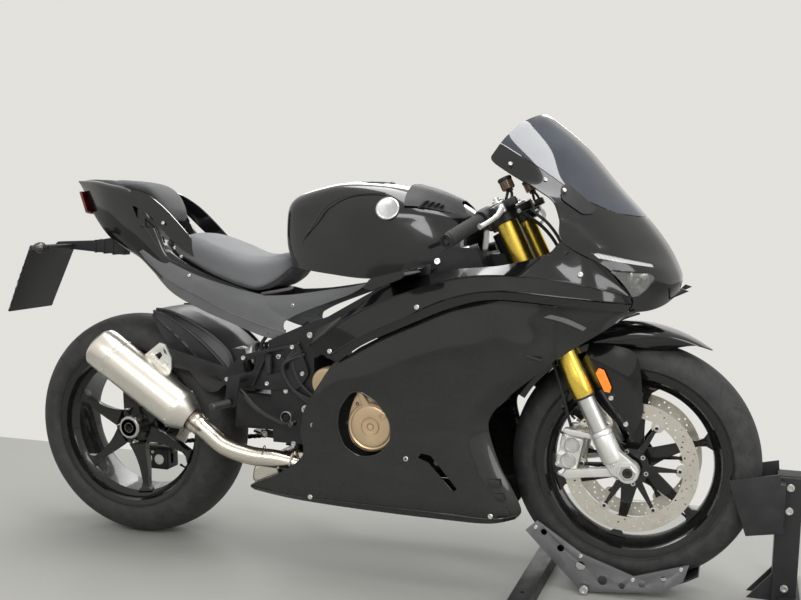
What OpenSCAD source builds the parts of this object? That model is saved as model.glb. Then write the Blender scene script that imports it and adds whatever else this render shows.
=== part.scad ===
// Sport bike held upright by a front wheel chock.
// Bike axes: +X forward, +Y to the rider's left, +Z up, floor at z = 0.
// Everything is drawn with the rear axle above x = 0, then moved so that the
// origin is the middle of the whole footprint on the floor.

/* [Wheels] */
// Distance between the two axles
wheel_base = 1400; // [1340:5:1460]
// Outside radius of the rear tyre
rear_tyre_r = 320; // [310:1:330]
// Width of the rear tyre
rear_tyre_w = 190; // [170:1:200]
// Outside radius of the front tyre
front_tyre_r = 300; // [292:1:308]
// Width of the front tyre
front_tyre_w = 120; // [110:1:130]
// Radius of both rims at their flanges
rim_flange_r = 232; // [226:1:236]
// Thickness of the tyre walls
tyre_wall = 12; // [8:1:14]
// Radius of the front brake discs
front_disc_r = 160; // [150:1:165]
// Radius of the rear brake disc
rear_disc_r = 115; // [105:1:120]
// Thickness of every brake disc
disc_t = 5; // [4:0.5:6]
// Number of spokes in each wheel
spoke_count = 6; // [5:1:7]
// Bore through the rear spindle, which takes a stand pin
rear_bore_r = 13; // [11:0.5:14]

/* [Front end] */
// Steering axis angle from the vertical
rake = 26; // [23:0.5:27]
// How far the front axle stands ahead of the fork tubes
axle_lead = 22; // [15:1:30]
// How far the fork tubes stand ahead of the steering axis
yoke_offset = 30; // [26:1:34]
// Sideways place of each fork tube
fork_y = 105; // [100:1:110]
// Radius of the outer fork tubes
fork_tube_r = 27; // [24:0.5:28]
// Radius of the sliding fork legs
fork_leg_r = 21.5; // [20:0.5:22]
// Length from the axle to the top of the fork
fork_len = 700; // [690:5:715]
// Half width over the bar ends
bar_half = 375; // [350:5:400]
// Radius of the rubber grips
grip_r = 17; // [16:0.5:18]

/* [Bodywork] */
// Thickness of the plastic panels
panel_t = 4; // [3:0.5:5]
// Largest half width of the upper fairing
fairing_half = 235; // [225:1:245]
// Largest half width of the belly fairing
belly_half = 192; // [186:1:200]
// Half width of the fuel tank
tank_half = 150; // [130:1:160]
// Half width of the rider's seat
seat_half = 125; // [110:1:135]
// Half width of the tail
tail_half = 112; // [100:1:120]

/* [Chock] */
// Clear height of the front tyre above the floor
chock_lift = 30; // [26:1:40]
// Half width of the chock's rear foot
chock_half = 300; // [260:5:340]
// Thickness of the chock's plates
chock_plate = 5; // [4:0.5:8]
// Radius of the floor bolt holes in the chock
floor_bolt_r = 6; // [5:0.5:7]

/* [Hidden] */
$fn = 64;

skin_gap = 0.3;        // gap between neighbours that must not touch
run_gap = 0.05;        // running clearance of a shaft in its bearing
front_axle_z = front_tyre_r + chock_lift;
rear_axle_z = rear_tyre_r;
axle_r = 12.5;         // front axle
spindle_r = 26;        // rear spindle
front_rim_w = 96;      // over the flanges
rear_rim_w = 168;
front_disc_y = 66;     // middle of each front disc
rear_disc_y = 60;
pivot_x = 520;         // swingarm pivot
pivot_z = 400;
pivot_half = 96;       // swingarm between the frame plates
pivot_r = 14;
shock_y = -60;
rest_y = 130 + skin_gap; // inner face of the footrest plates
arm_in = rear_tyre_w / 2 + 9;
arm_out = arm_in + 40;
hugger_half = arm_in - skin_gap;
sprocket_y = arm_out + 12;
sprocket_r = 84;
drive_r = 36;          // front sprocket end of the chain
drive_x = 640;
drive_z = 365;
chain_gap = 5;         // from the sprocket to the chain
chain_t = 14;          // depth of the chain's run
chock_back = 1150;     // rear edge of the chock's foot
chock_front = 1800;
post_x = 1735;         // chock's front post
steer_x = -axle_lead - yoke_offset; // steering axis in the fork's own frame
plate_low = [-392, 640]; // low edge point of the number plate, in X and Z
origin_x = (chock_front + plate_low[0]) / 2;
bolt_y = 215;          // sideways place of the chock's floor bolts

// ---------- placing ----------
// The fork's own frame: origin on the front axle, +Z up along the fork.
module fork_frame()
    translate([wheel_base, 0, front_axle_z]) rotate([0, -rake, 0]) children();

// A side outline drawn in X and Z, as thick as y0 to y1.
module slab(y0, y1)
    translate([0, y1, 0]) rotate([90, 0, 0]) linear_extrude(y1 - y0) children();

module both_sides() {
    children();
    mirror([0, 1, 0]) children();
}

// A round bar between two points.
module rod(a, b, r, fn = 32) {
    d = b - a;
    len = norm(d);
    translate(a)
        rotate([0, acos(d[2] / len), atan2(d[1], d[0])])
            cylinder(h = len, r = r, $fn = fn);
}

// Points on a smooth curve through p, n steps to each span.
function blend4(a, b, c, d, t) =
    0.5 * (2 * b + (c - a) * t + (2 * a - 5 * b + 4 * c - d) * t * t + (3 * b - a - 3 * c + d) * t * t * t);
function smooth_path(p, n) = concat(
    [for (i = [0 : len(p) - 2]) for (k = [0 : n - 1])
        blend4(p[max(i - 1, 0)], p[i], p[i + 1], p[min(i + 2, len(p) - 1)], k / n)],
    [p[len(p) - 1]]);

// A round tube swept along p; ref is a direction that the path never takes.
module sweep(p, r, sides, ref) {
    last = len(p) - 1;
    rings = [for (i = [0 : last])
        let (
            t = p[min(i + 1, last)] - p[max(i - 1, 0)],
            u = cross(t, ref) / norm(cross(t, ref)),
            v = cross(u, t) / norm(t)
        )
        for (k = [0 : sides - 1]) p[i] + r * (u * cos(k * 360 / sides) + v * sin(k * 360 / sides))];
    polyhedron(rings, concat(
        [[for (k = [0 : sides - 1]) k]],
        [for (i = [0 : last - 1]) for (k = [0 : sides - 1])
            let (a = i * sides, b = a + sides, j = (k + 1) % sides) [a + k, b + k, b + j, a + j]],
        [[for (k = [sides - 1 : -1 : 0]) last * sides + k]]));
}

module front_wheel_frame()
    translate([wheel_base, 0, front_axle_z]) rotate([90, 0, 0]) children();

module rear_wheel_frame()
    translate([0, 0, rear_axle_z]) rotate([90, 0, 0]) children();

// ---------- wheels ----------
// One tyre: crown, shoulders, walls and beads.
module tyre(r, w, rim_w) {
    out = [for (a = [-90 : 15 : 90]) [rim_flange_r + 22 + (r - rim_flange_r - 22) * cos(a), w / 2 * sin(a)]];
    in_r = r - tyre_wall;
    in_w = w / 2 - tyre_wall;
    inner = [for (a = [90 : -15 : -90]) [rim_flange_r + 22 + (in_r - rim_flange_r - 22) * cos(a), in_w * sin(a)]];
    bead_r = rim_flange_r - 14;
    rotate_extrude($fn = 96)
        polygon(concat(
            [[bead_r, -rim_w / 2 + 8]], [[rim_flange_r, -rim_w / 2 + 6]], out,
            [[rim_flange_r, rim_w / 2 - 6]], [[bead_r, rim_w / 2 - 8]],
            [[bead_r, rim_w / 2 - 20]], inner, [[bead_r, -rim_w / 2 + 20]]));
}

// The rim's barrel with two flanges and a drop well.
module rim_barrel(w) {
    f = rim_flange_r;
    h = w / 2;
    rotate_extrude($fn = 96)
        polygon([
            [f, -h], [f, -h + 6], [f - 14, -h + 8], [f - 14, -h + 22], [f - 34, -h + 32],
            [f - 34, h - 32], [f - 14, h - 22], [f - 14, h - 8], [f, h - 6], [f, h],
            [f - 18, h - 2], [f - 20, h - 24], [f - 40, h - 36],
            [f - 40, -h + 36], [f - 20, -h + 24], [f - 18, -h + 2]]);
}

// Spokes that run from the hub to the barrel.
module spokes(hub_r, w_hub, w_rim, z, first = 20) {
    reach = rim_flange_r - 38;
    for (i = [0 : spoke_count - 1])
        rotate([0, 0, i * 360 / spoke_count + first])
            translate([0, 0, z])
                rotate([90, 0, 90])
                    translate([0, 0, hub_r - 6])
                        linear_extrude(reach - hub_r + 6)
                            polygon([[-w_hub / 2, -9], [w_hub / 2, -9], [w_rim / 2, 9], [-w_rim / 2, 9]]);
}

module front_tyre() color("#18181a") front_wheel_frame() tyre(front_tyre_r, front_tyre_w, front_rim_w);
module rear_tyre() color("#18181a") rear_wheel_frame() tyre(rear_tyre_r, rear_tyre_w, rear_rim_w);

module front_rim() color("#111112") front_wheel_frame()
    difference() {
        union() {
            rim_barrel(front_rim_w);
            spokes(34, 26, 20, 0);
            cylinder(h = 2 * front_disc_y - disc_t, r = 34, center = true);
        }
        cylinder(h = 200, r = axle_r + run_gap, center = true);
    }

// Both discs, each on its star carrier that sits on the end of the hub.
module front_discs() color("silver") front_wheel_frame()
    for (s = [-1, 1]) translate([0, 0, s * front_disc_y]) brake_disc(front_disc_r, 62, 40, axle_r + 4);

module brake_disc(r, band_in, hub, bore)
    difference() {
        union() {
            difference() {
                cylinder(h = disc_t, r = r, center = true, $fn = 96);
                cylinder(h = disc_t + 2, r = r - 36, center = true, $fn = 96);
            }
            for (i = [0 : 5]) rotate([0, 0, i * 60])
                translate([hub - 8, -9, -disc_t / 2]) cube([r - 30 - hub + 8, 18, disc_t]);
            cylinder(h = disc_t, r = hub, center = true);
        }
        cylinder(h = disc_t + 2, r = bore, center = true);
    }

module rear_rim() color("#111112") rear_wheel_frame()
    difference() {
        union() {
            rim_barrel(rear_rim_w);
            spokes(52, 30, 24, 38, 37);
            translate([0, 0, -30]) cylinder(h = 100, r = 56);
        }
        translate([0, 0, -60]) cylinder(h = 200, r = spindle_r);
    }

// The spindle turns in the swingarm; nut on the right, sprocket on the left.
module rear_spindle() color("silver") rear_wheel_frame()
    difference() {
        union() {
            translate([0, 0, -sprocket_y - 6]) cylinder(h = sprocket_y + 6 + 84, r = spindle_r);
            translate([0, 0, 70]) cylinder(h = 14, r = 36, $fn = 48);
            translate([0, 0, -sprocket_y - 3]) cylinder(h = 6, r = sprocket_r, $fn = 96);
        }
        translate([0, 0, -300]) cylinder(h = 600, r = rear_bore_r);
    }

module rear_disc() color("silver") rear_wheel_frame()
    translate([0, 0, -rear_disc_y]) difference() {
        union() {
            difference() {
                cylinder(h = disc_t, r = rear_disc_r, center = true, $fn = 96);
                cylinder(h = disc_t + 2, r = rear_disc_r - 32, center = true, $fn = 96);
            }
            for (i = [0 : 5]) rotate([0, 0, i * 60])
                translate([36, -9, -disc_t / 2]) cube([rear_disc_r - 64, 18, disc_t]);
            translate([0, 0, -disc_t / 2]) cylinder(h = rear_disc_y - 30 + disc_t / 2, r = 48);
        }
        cylinder(h = 200, r = spindle_r, center = true);
    }

// ---------- rear end ----------
module swingarm() color("#1b1b1d") difference() {
    union() {
        slab(arm_in, arm_out) polygon([
            [-10, 262], [60, 262], [250, 318], [460, 352], [460, 448], [330, 462], [200, 440], [60, 378], [-10, 378]]);
        translate([0, arm_out, rear_axle_z]) rotate([90, 0, 0]) cylinder(h = arm_out - arm_in, r = 62);
        slab(-pivot_half, arm_in) polygon([[345, 350], [460, 352], [460, 448], [350, 452]]);
        slab(-pivot_half, pivot_half) polygon([
            [459, 352], [pivot_x + 40, pivot_z - 50], [pivot_x + 40, pivot_z + 50], [459, 448]]);
        // ears for the rear shock
        for (y = [shock_y - 24, shock_y + 16 + skin_gap])
            slab(y, y + 8 - skin_gap) polygon([[352, 440], [410, 440], [372, 566], [336, 566], [332, 530]]);
    }
    translate([0, arm_out + 10, rear_axle_z]) rotate([90, 0, 0]) cylinder(h = 100, r = spindle_r + run_gap);
    translate([pivot_x, 200, pivot_z]) rotate([90, 0, 0]) cylinder(h = 400, r = pivot_r);
}

module rear_caliper() color("#2a2a2c") {
    difference() {
        translate([-48, rear_disc_y - 26, rear_axle_z - rear_disc_r - 36]) cube([96, 62, 64]);
        translate([-60, rear_disc_y - 9, rear_axle_z - rear_disc_r - 14]) cube([120, 18, 60]);
    }
    // carrier up to the arm's inner face
    translate([-20, rear_disc_y + 35, rear_axle_z - rear_disc_r - 30])
        cube([40, arm_in - rear_disc_y - 35, rear_disc_r - 25]);
}

module rear_shock() color("silver") {
    shock_len = 193;
    translate([352, shock_y, 548]) rotate([0, 84, 0]) {
        cylinder(h = shock_len, r = 16);
        translate([0, 0, 42]) cylinder(h = 112, r = 33);
    }
    translate([352, shock_y + 16, 548]) rotate([90, 0, 0]) cylinder(h = 32, r = 21);
}

// The hugger is a thin hood over the front of the rear tyre.
module rear_hugger() color("#161618") difference() {
    slab(-hugger_half, hugger_half) polygon([
        [99, 664], [156, 661], [272, 614], [344, 560], [341, 476], [298, 447], [261, 450], [134, 590], [101, 646]]);
    slab(-hugger_half + panel_t, hugger_half - panel_t) polygon([
        [80, 652], [156, 656], [269, 610], [330, 562], [337, 556], [337, 470], [298, 400], [240, 400], [60, 560]]);
    translate([0, 200, rear_axle_z]) rotate([90, 0, 0]) cylinder(h = 400 - 104, r = rear_tyre_r - 60);
    // room for the shock and its ears
    slab(shock_y - 26, shock_y + 26) polygon([[324, 430], [324, 574], [370, 574], [370, 430]]);
}

module drive_chain() color("#3a3430")
    slab(sprocket_y - 7, sprocket_y + 7) difference() {
        chain_outline(chain_t + chain_gap);
        chain_outline(chain_gap);
    }
module chain_outline(grow) hull() {
    translate([0, rear_axle_z]) circle(r = sprocket_r + grow, $fn = 64);
    translate([drive_x, drive_z]) circle(r = drive_r + grow, $fn = 48);
}

// ---------- chassis ----------
head_low = 460;   // head tube, along the fork's own Z
head_high = 648;
stem_r = 17;
module main_frame() color("#1a1a1c") {
    fork_frame() translate([steer_x, 0, head_low]) difference() {
        cylinder(h = head_high - head_low, r = 38);
        translate([0, 0, -1]) cylinder(h = head_high - head_low + 2, r = stem_r + run_gap);
    }
    both_sides() {
        // spar from the head tube over the engine to the pivot plate
        difference() {
            slab(100, 130) polygon([
                [1092, 700], [1026, 850], [960, 850], [640, 670], [560, 640], [470, 600],
                [480, 330], [600, 330], [600, 560], [680, 600], [960, 690]]);
            translate([pivot_x, 300, pivot_z]) rotate([90, 0, 0]) cylinder(h = 400, r = pivot_r);
        }
        // forged upper tube
        rod([905, 118, 812], [1024, 95.9, 846], 15);
    }
    // cross plate behind the head tube, and the web out to it
    slab(-104, 104) polygon([[1076, 735], [1032, 838], [1000, 830], [1030, 735]]);
    difference() {
        slab(-30, 30) polygon([[1128, 738], [1086, 835], [1010, 830], [1040, 738]]);
        fork_frame() translate([steer_x, 0, head_low - 40]) cylinder(h = 300, r = 30);
    }
    // ears for the shock's front eye
    for (y = [shock_y - 24, shock_y + 16 + skin_gap])
        slab(y, y + 8 - skin_gap) polygon([[526, 556], [556, 556], [556, 592], [526, 592]]);
    // cross member behind the engine, over the shock
    slab(-100, 100) polygon([[520, 590], [600, 590], [600, 640], [520, 620]]);
    translate([pivot_x, 136, pivot_z]) rotate([90, 0, 0]) cylinder(h = 272, r = pivot_r);
    // stays that hold the upper fairing
    both_sides() {
        rod([905, 128, 720], [905, fairing_half - 20 - panel_t - 1, 720], 6);
        rod([1225, 0, 850], [1255, fairing_half - 6 - panel_t - 1, 850], 6);
    }
    // stalk for the instruments
    rod([1178, 0, 770], [1225, 0, 870], 9);
    rod([1225, 0, 870], [1232, 0, 975], 9);
    translate([1225, 0, 870]) sphere(9);
    fork_frame() translate([steer_x + 30, -12, 480]) cube([24, 24, 60]);
    // left leg that carries the side stand's pin
    slab(100, 130) polygon([[480, 335], [480, 235], [520, 235], [545, 335]]);
    translate([stand_x, stand_y + 26, stand_z]) rotate([90, 0, 0]) cylinder(h = stand_y + 26 - 110, r = stand_pin_r);
}

module engine_block() color("#3a3a3c") {
    slab(-95, 95) polygon([
        [610, 275], [900, 268], [990, 330], [1000, 400], [1000, 440], [930, 560], [820, 620], [720, 560], [610, 480]]);
    // bosses that hold the belly fairing, and the drive sprocket's shaft
    both_sides() rod([950, 90, 330], [950, belly_half - panel_t - skin_gap, 330], 7);
    translate([drive_x, sprocket_y + 5, drive_z]) rotate([90, 0, 0]) {
        cylinder(h = 10, r = drive_r + chain_gap - skin_gap);
        cylinder(h = sprocket_y + 5 - 90, r = 18);
    }
}

module engine_covers() color("#8a6a4c") {
    // right: clutch and starter covers, left: generator and sprocket covers
    both_sides() {
        slab(95, belly_half - 12) translate([772, 408]) circle(r = 64);
        slab(95, 150) translate([640, 500]) circle(r = 40);
    }
}

module radiator() color("#202022") {
    slab(-165, 165) polygon([[1010, 430], [1050, 430], [1075, 670], [1035, 670]]);
    both_sides() slab(50, 80)
        polygon([[1000 + skin_gap, 405], [1014, 432], [1014, 440], [1000 + skin_gap, 440]]);
}

// ---------- seat, tank, tail ----------
module fuel_tank() color("#0c0c0e") difference() {
    intersection() {
        slab(-tank_half, tank_half) polygon([
            [500 + skin_gap, 833], [523 + skin_gap, 790], [535, 793], [757, 768], [980, 812], [1004, 880], [996, 930],
            [930, 968], [883, 986], [778, 1005], [671, 1010], [559, 991], [500, 950], [488, 880]]);
        linear_extrude(1200) polygon([
            [480, -92], [540, -112], [640, -tank_half + 10], [760, -tank_half], [900, -tank_half], [950, -116], [975, -60], [1030, -40],
            [1030, 40], [975, 60], [950, 116], [900, tank_half], [760, tank_half], [640, tank_half - 10], [540, 112], [480, 92]]);
    }
    // clearance around the head tube
    fork_frame() translate([steer_x, 0, 300]) cylinder(h = 500, r = 50);
    // room for the frame's spars and upper tubes
    both_sides() slab(30 - skin_gap, 300) polygon([
        [780, 740], [816, 769 + spar_gap], [960 - spar_gap, 850 + spar_gap], [1060, 850 + spar_gap], [1060, 740]]);
    both_sides() rod([890, 120.8, 807.7], [1060, 89.2, 856.3], 15 + skin_gap);
}
spar_gap = 0.4;

// Lines along which the seat and the pillion pad lie on the tail.
seat_line = [[148, 818], [250, 780], [319, 752], [425, 724]];
pad_line = [[-80, 998], [28, 984], [75, 972], [120, 896]];
lamp_line = [[-160, 982], [-134, 924]];
tail_under = [[-68, 859], [-35, 828]];
function lowered(line) = [for (p = line) p - [0, skin_gap]];
function backward(line) = [for (i = [len(line) - 1 : -1 : 0]) line[i]];

module rider_seat() color("#77787b")
    slab(-seat_half, seat_half) polygon(concat(
        seat_line, [[452, 732], [523, 790], [500, 832], [453, 829], [349, 836], [300, 858], [250, 866], [190, 868],
        [165, 862], [150, 845]]));

module pillion_seat() color("#2a2a2c")
    slab(-78, 78) polygon(concat(pad_line, [[136, 930], [122, 980], [64, 1004], [-70, 1016]]));

module tail_cowl() color("#101012")
    slab(-tail_half, tail_half) polygon(concat(
        [[-186, 1016], [-165, 986]], [for (p = lamp_line) p + [skin_gap, 0]], tail_under,
        [[37, 818], [162, 721], [263, 690], [440, 690]], backward(lowered(seat_line)),
        [[142, 868], [126, 892]], backward(lowered(pad_line)), [[-84, 1000], [-120, 1014]]));

module side_panels() color("#4c4d50")
    both_sides() slab(tail_half + skin_gap, tail_half + 12) difference() {
        polygon([
            [70, 822], [162, 721], [263, 672], [447, 610], [525, 599], [513, 649], [558, 674], [702, 728],
            [747, 757], [560, 727], [454, 716], [247, 764], [140, 812]]);
        polygon([[465, 580], [470 - spar_gap, 600 + spar_gap], [560, 640 + spar_gap], [600, 640], [600, 580]]);
    }

module tail_light() color("#5a1010")
    slab(-60, 60) polygon(concat(lamp_line, [[-143, 918], [-170, 980]]));

module plate_holder() color("#141416") {
    slab(-14, 14) polygon(concat([[-150, 812], [-30, 800]], [for (p = backward(tail_under)) p - [skin_gap, skin_gap]],
        [[-140, 848], [-270, 842], [-290, 822]]));
    slab(-95, 95) polygon([[-300, 830], plate_low, plate_low + [6, -3], [-290, 822], [-270, 830]]);
    slab(-120, 120) polygon([[-236, 822], [-212, 822], [-212, 836], [-236, 836]]);
}

module rear_indicators() color("#2a2a2c")
    both_sides() translate([-224, 150, 829]) rotate([90, 0, 0]) cylinder(h = 30 - skin_gap, r = 14);

// ---------- fairing ----------
// Plan outline of the fairing: one side from the rear to the nose.
function fairing_plan(half, in) = [
    [560, half - 55 - in], [700, half - 38 - in], [900, half - 20 - in], [1080, half - 6 - in],
    [1220, half - in], [1300, half - 14 - in], [1400, half - 80 - in], [1470 - in, half - 170], [1494 - in, 0]
];
module plan_ring(half, t) difference() {
    polygon(concat([[560, 0]], fairing_plan(half, 0)));
    polygon(concat([[559, 0]], [[559, half - 55 - t]], fairing_plan(half, t)));
}
// Upright walls of the fairing, one side of the bike.
module wall(half, t) translate([0, 0, 0]) linear_extrude(1300) plan_ring(half, t);

fairing_hem = [[1245, 730], [1094, 738], [991, 716], [886, 672], [723, 596]];
module side_fairing() {
    intersection() {
        wall(fairing_half, panel_t);
        slab(0, 400) polygon(concat(
            [[685, 562], [612, 600], [629, 643], [789, 730], [822, 767], [1000, 806], [1102, 813], [1206, 840],
            [1251, 874], [1345, 815], [1400, 745], [1387, 714]], fairing_hem));
    }
    // ledge under the step, in to the belly fairing
    intersection() {
        linear_extrude(1300) difference() {
            polygon(concat([[560, 0]], fairing_plan(fairing_half, 1)));
            polygon(concat([[550, 0]], [[550, belly_half - 23]], belly_plan(-skin_gap), [[1260, belly_half - 10], [1260, 0]]));
        }
        slab(0, 400) polygon(concat(fairing_hem, [for (p = backward(fairing_hem)) p + [0, panel_t]]));
    }
}
module side_fairing_right() color("#0d0d0f") mirror([0, 1, 0]) side_fairing();
module side_fairing_left() color("#0d0d0f") side_fairing();

// Plan outline of the belly fairing.
function belly_plan(in) = [
    [416, belly_half - 60 - in], [560, belly_half - 22 - in], [760, belly_half - in], [1000, belly_half - in],
    [1100, belly_half - 6 - in], [1240, belly_half - 10 - in]
];
module belly_half_shell() {
    difference() {
        intersection() {
            linear_extrude(1300) difference() {
                polygon(concat([[416, 0]], belly_plan(0), [[1240, 0]]));
                polygon(concat([[400, 0]], [[400, belly_half - 60 - panel_t]], belly_plan(panel_t), [[1250, belly_half - 10 - panel_t], [1250, 0]]));
            }
                slab(0, 400) polygon([
                [413, 208], [419, 189], [1058, 184], [1138, 193], [1156, 222], [1100, 330], [1071, 417], [1076, 447],
                [1118, 501], [1185, 558], [1236, 606], [1245, 722], [1094, 730], [991, 708], [886, 664], [723, 588],
                [690, 556], [664, 551], [590, 433], [578, 377], [583, 308], [512, 256]]);
        }
        slab(0, 400) translate([763, 409]) circle(r = 72);
        slab(0, 400) polygon([[903, 338], [994, 263], [1004, 270], [930, 345], [912, 350]]);
        // the side stand's pin
        slab(0, 400) translate([stand_x, stand_z]) circle(r = stand_pin_r + 6);
    }
    // pan under the engine
    slab(skin_gap / 2, belly_half - 64) polygon([[430, 190], [1058, 185], [1096, 188], [1096, 194], [1058, 191], [430, 196]]);
    slab(belly_half - 65, belly_half - 8) polygon([[570, 189], [1058, 185], [1096, 188], [1096, 194], [1058, 191], [570, 195]]);
}
module belly_fairing_right() color("#1d1e20") mirror([0, 1, 0]) belly_half_shell();
module belly_fairing_left() color("#1d1e20") belly_half_shell();

// The nose and the screen are cut from one convex shell: its corners, with
// half width in the middle column.
shell_r = 8;
front_corners = [
    [1476, 0, 790], [1458, 45, 746], [1402, 40, 912], [1395, 150, 735], [1345, 200, 800], [1252, 227, 866],
    [1240, 190, 955], [1072, 152, 1058], [1077, 90, 1104], [1156, 28, 1160], [1258, 58, 1072], [1352, 52, 966],
    [1020, 150, 960], [1180, 215, 760], [1360, 140, 690]];
module front_solid(r) hull() for (p = front_corners, s = [-1, 1])
    translate([p[0], s * p[1], p[2]]) sphere(r, $fn = 16);
module front_shell() difference() {
    front_solid(shell_r);
    front_solid(shell_r - panel_t);
}
glass_line = [[1050, 1098], [1180, 1034], [1300, 950], [1404, 922], [1440, 908]];
lamp_hole = [[1356, 806], [1440, 798], [1424, 760], [1392, 752]];

module nose_fairing() color("#0b0b0d") difference() {
    intersection() {
        front_shell();
        slab(-400, 400) polygon(concat(lowered(glass_line), [
            [1520, 800], [1520, 755], [1500, 750], [1474, 733], [1450, 719], [1390, 712],
            [1404, 747], [1348, 818], [1252, 876], [1243, 906], [1234, 940], [1219, 964], [1184, 985],
            [1121, 1019], [1069, 1043], [1050, 1052]]));
    }
    both_sides() slab(62, 400) polygon(lamp_hole);
}

module headlights() color("#d8dde2")
    both_sides() intersection() {
        front_solid(shell_r - panel_t - skin_gap);
        slab(62, 190) polygon([[1356, 812], [1444, 806], [1440, 750], [1410, 744]]);
    }

module windscreen() color("#2a3644") intersection() {
    front_shell();
    slab(-400, 400) polygon(concat(glass_line, [[1440, 1250], [1000, 1250]]));
}

module cockpit_display() color("#151517")
    difference() {
        translate([1232, 0, 1000]) rotate([0, -55, 0]) cube([86, 168, 22], center = true);
        rod([1225, 0, 870], [1232, 0, 975 + skin_gap], 9 + skin_gap);
    }

// ---------- exhaust ----------
sil_tilt = 33;
sil_r = 58;
sil_y = -164;
sil_start = [256, sil_y, 382];
sil_dir = [-cos(sil_tilt), 0, sin(sil_tilt)];
module exhaust_pipe() color("#9b9488")
    sweep(smooth_path([
        [900, -60, 228], [760, -66, 228], [640, -84, 230], [560, -104, 262], [490, -126, 282], [420, -148, 292],
        [352, -162, 314], [308, sil_y, 346], sil_start - 32 * sil_dir, sil_start - 12 * sil_dir, sil_start + 8 * sil_dir], 4),
        25, 18, [0, 1, 0]);

module silencer() color("#a59d90") {
    translate(sil_start + skin_gap * sil_dir) rotate([0, -90 + sil_tilt, 0]) difference() {
        union() {
            cylinder(h = 40, r1 = 31, r2 = sil_r);
            translate([0, 0, 40]) cylinder(h = 300, r = sil_r);
        }
        translate([0, 0, 300]) cylinder(h = 60, r = 30);
        translate([0, 0, -1]) cylinder(h = 10, r = 25 + skin_gap);
    }
    // hanger plate up to the footrest bracket
    slab(-rest_y + skin_gap, -rest_y + 7) polygon([[84, 560], [173, 572], [360, 520], [360, 496], [110, 500]]);
}

// ---------- footrests and stand ----------
module footrests() color("#26262a") both_sides() {
    slab(rest_y, rest_y + 10) polygon([
        [330, 500], [400, 560], [560, 600], [590, 520], [560, 478], [460, 470], [340, 474]]);
    rod([400, rest_y + 10, 500], [400, 187, 500], 12);
    slab(186, 194) polygon([[382, 512], [418, 512], [402, 428], [368, 428]]);
    rod([385, 194, 440], [372, 262, 440], 11);
}

stand_x = 500;
stand_z = 250;
stand_y = belly_half + 12;
stand_len = 235;
stand_pin_r = 7;
module side_stand() color("#1c1c1e") difference() {
    union() {
        rod([stand_x, stand_y + 6, stand_z], [stand_x - stand_len, stand_y + 20, stand_z + 12], 9);
        translate([stand_x, stand_y + 16, stand_z]) rotate([90, 0, 0]) cylinder(h = 20, r = 20);
        translate([stand_x - stand_len, stand_y + 20, stand_z + 12]) rotate([0, 15, 0]) cube([44, 34, 8], center = true);
    }
    translate([stand_x, stand_y + 30, stand_z]) rotate([90, 0, 0]) cylinder(h = 60, r = stand_pin_r + run_gap);
}

// ---------- front end ----------
module fork_yokes() color("#1a1a1c") fork_frame() difference() {
    union() {
        // stem
        translate([steer_x, 0, 418]) cylinder(h = 270, r = stem_r);
        yoke(418, 38);
        yoke(656, 24);
    }
    translate([steer_x, 0, 400]) cylinder(h = 300, r = 10);
    for (s = [-1, 1]) translate([-axle_lead, s * fork_y, 400]) cylinder(h = 320, r = fork_tube_r);
}
module yoke(z, t) {
    translate([-axle_lead, 0, z]) for (s = [-1, 1]) translate([0, s * fork_y, 0]) cylinder(h = t, r = fork_tube_r + 9);
    translate([steer_x, 0, z]) cylinder(h = t, r = 32);
    translate([steer_x - 22, -fork_y, z]) cube([46, 2 * fork_y, t]);
}

module fork_tubes() color("#c99a2e") fork_frame()
    for (s = [-1, 1]) translate([-axle_lead, s * fork_y, 0]) difference() {
        translate([0, 0, 205]) cylinder(h = fork_len - 205, r = fork_tube_r);
        translate([0, 0, 204]) cylinder(h = 120, r = fork_leg_r);
    }

module fork_legs() color("#c8ccd0") fork_frame()
    for (s = [-1, 1]) {
        difference() {
            union() {
                translate([-axle_lead, s * fork_y, 60]) cylinder(h = 260, r = fork_leg_r);
                translate([-axle_lead, s * fork_y, 40]) cylinder(h = 76, r = fork_leg_r + 5);
                translate([0, s * (fork_y - 2), 0]) rotate([90, 0, 0]) cylinder(h = 40, r = 26, center = true);
                translate([-axle_lead - 18, s * (fork_y - 2) - 18, 0]) cube([36, 36, 60]);
            }
            translate([0, s * fork_y, 0]) rotate([90, 0, 0]) cylinder(h = 80, r = axle_r, center = true);
        }
    }

module front_axle() color("silver") front_wheel_frame() difference() {
    cylinder(h = 2 * fork_y + 44, r = axle_r, center = true);
    cylinder(h = 2 * fork_y + 50, r = 8, center = true);
}

caliper_turn = 52;  // from the fork to the caliper, about the axle
module front_calipers() color("#c8ccd0") fork_frame()
    for (s = [-1, 1]) {
        difference() {
            translate([0, s * front_disc_y, 0]) rotate([0, -caliper_turn, 0])
                translate([-40, -30, 116]) cube([80, 60, 60]);
            translate([0, s * front_disc_y, 0]) rotate([90, 0, 0])
                cylinder(h = 12, r = front_disc_r + 5, center = true, $fn = 96);
        }
        // ear that bolts to the fork leg
        translate([-92, s * (fork_y - 8) - 6, 92]) cube([92 - axle_lead - fork_leg_r - 5 - skin_gap, 12, 22]);
    }

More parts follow.
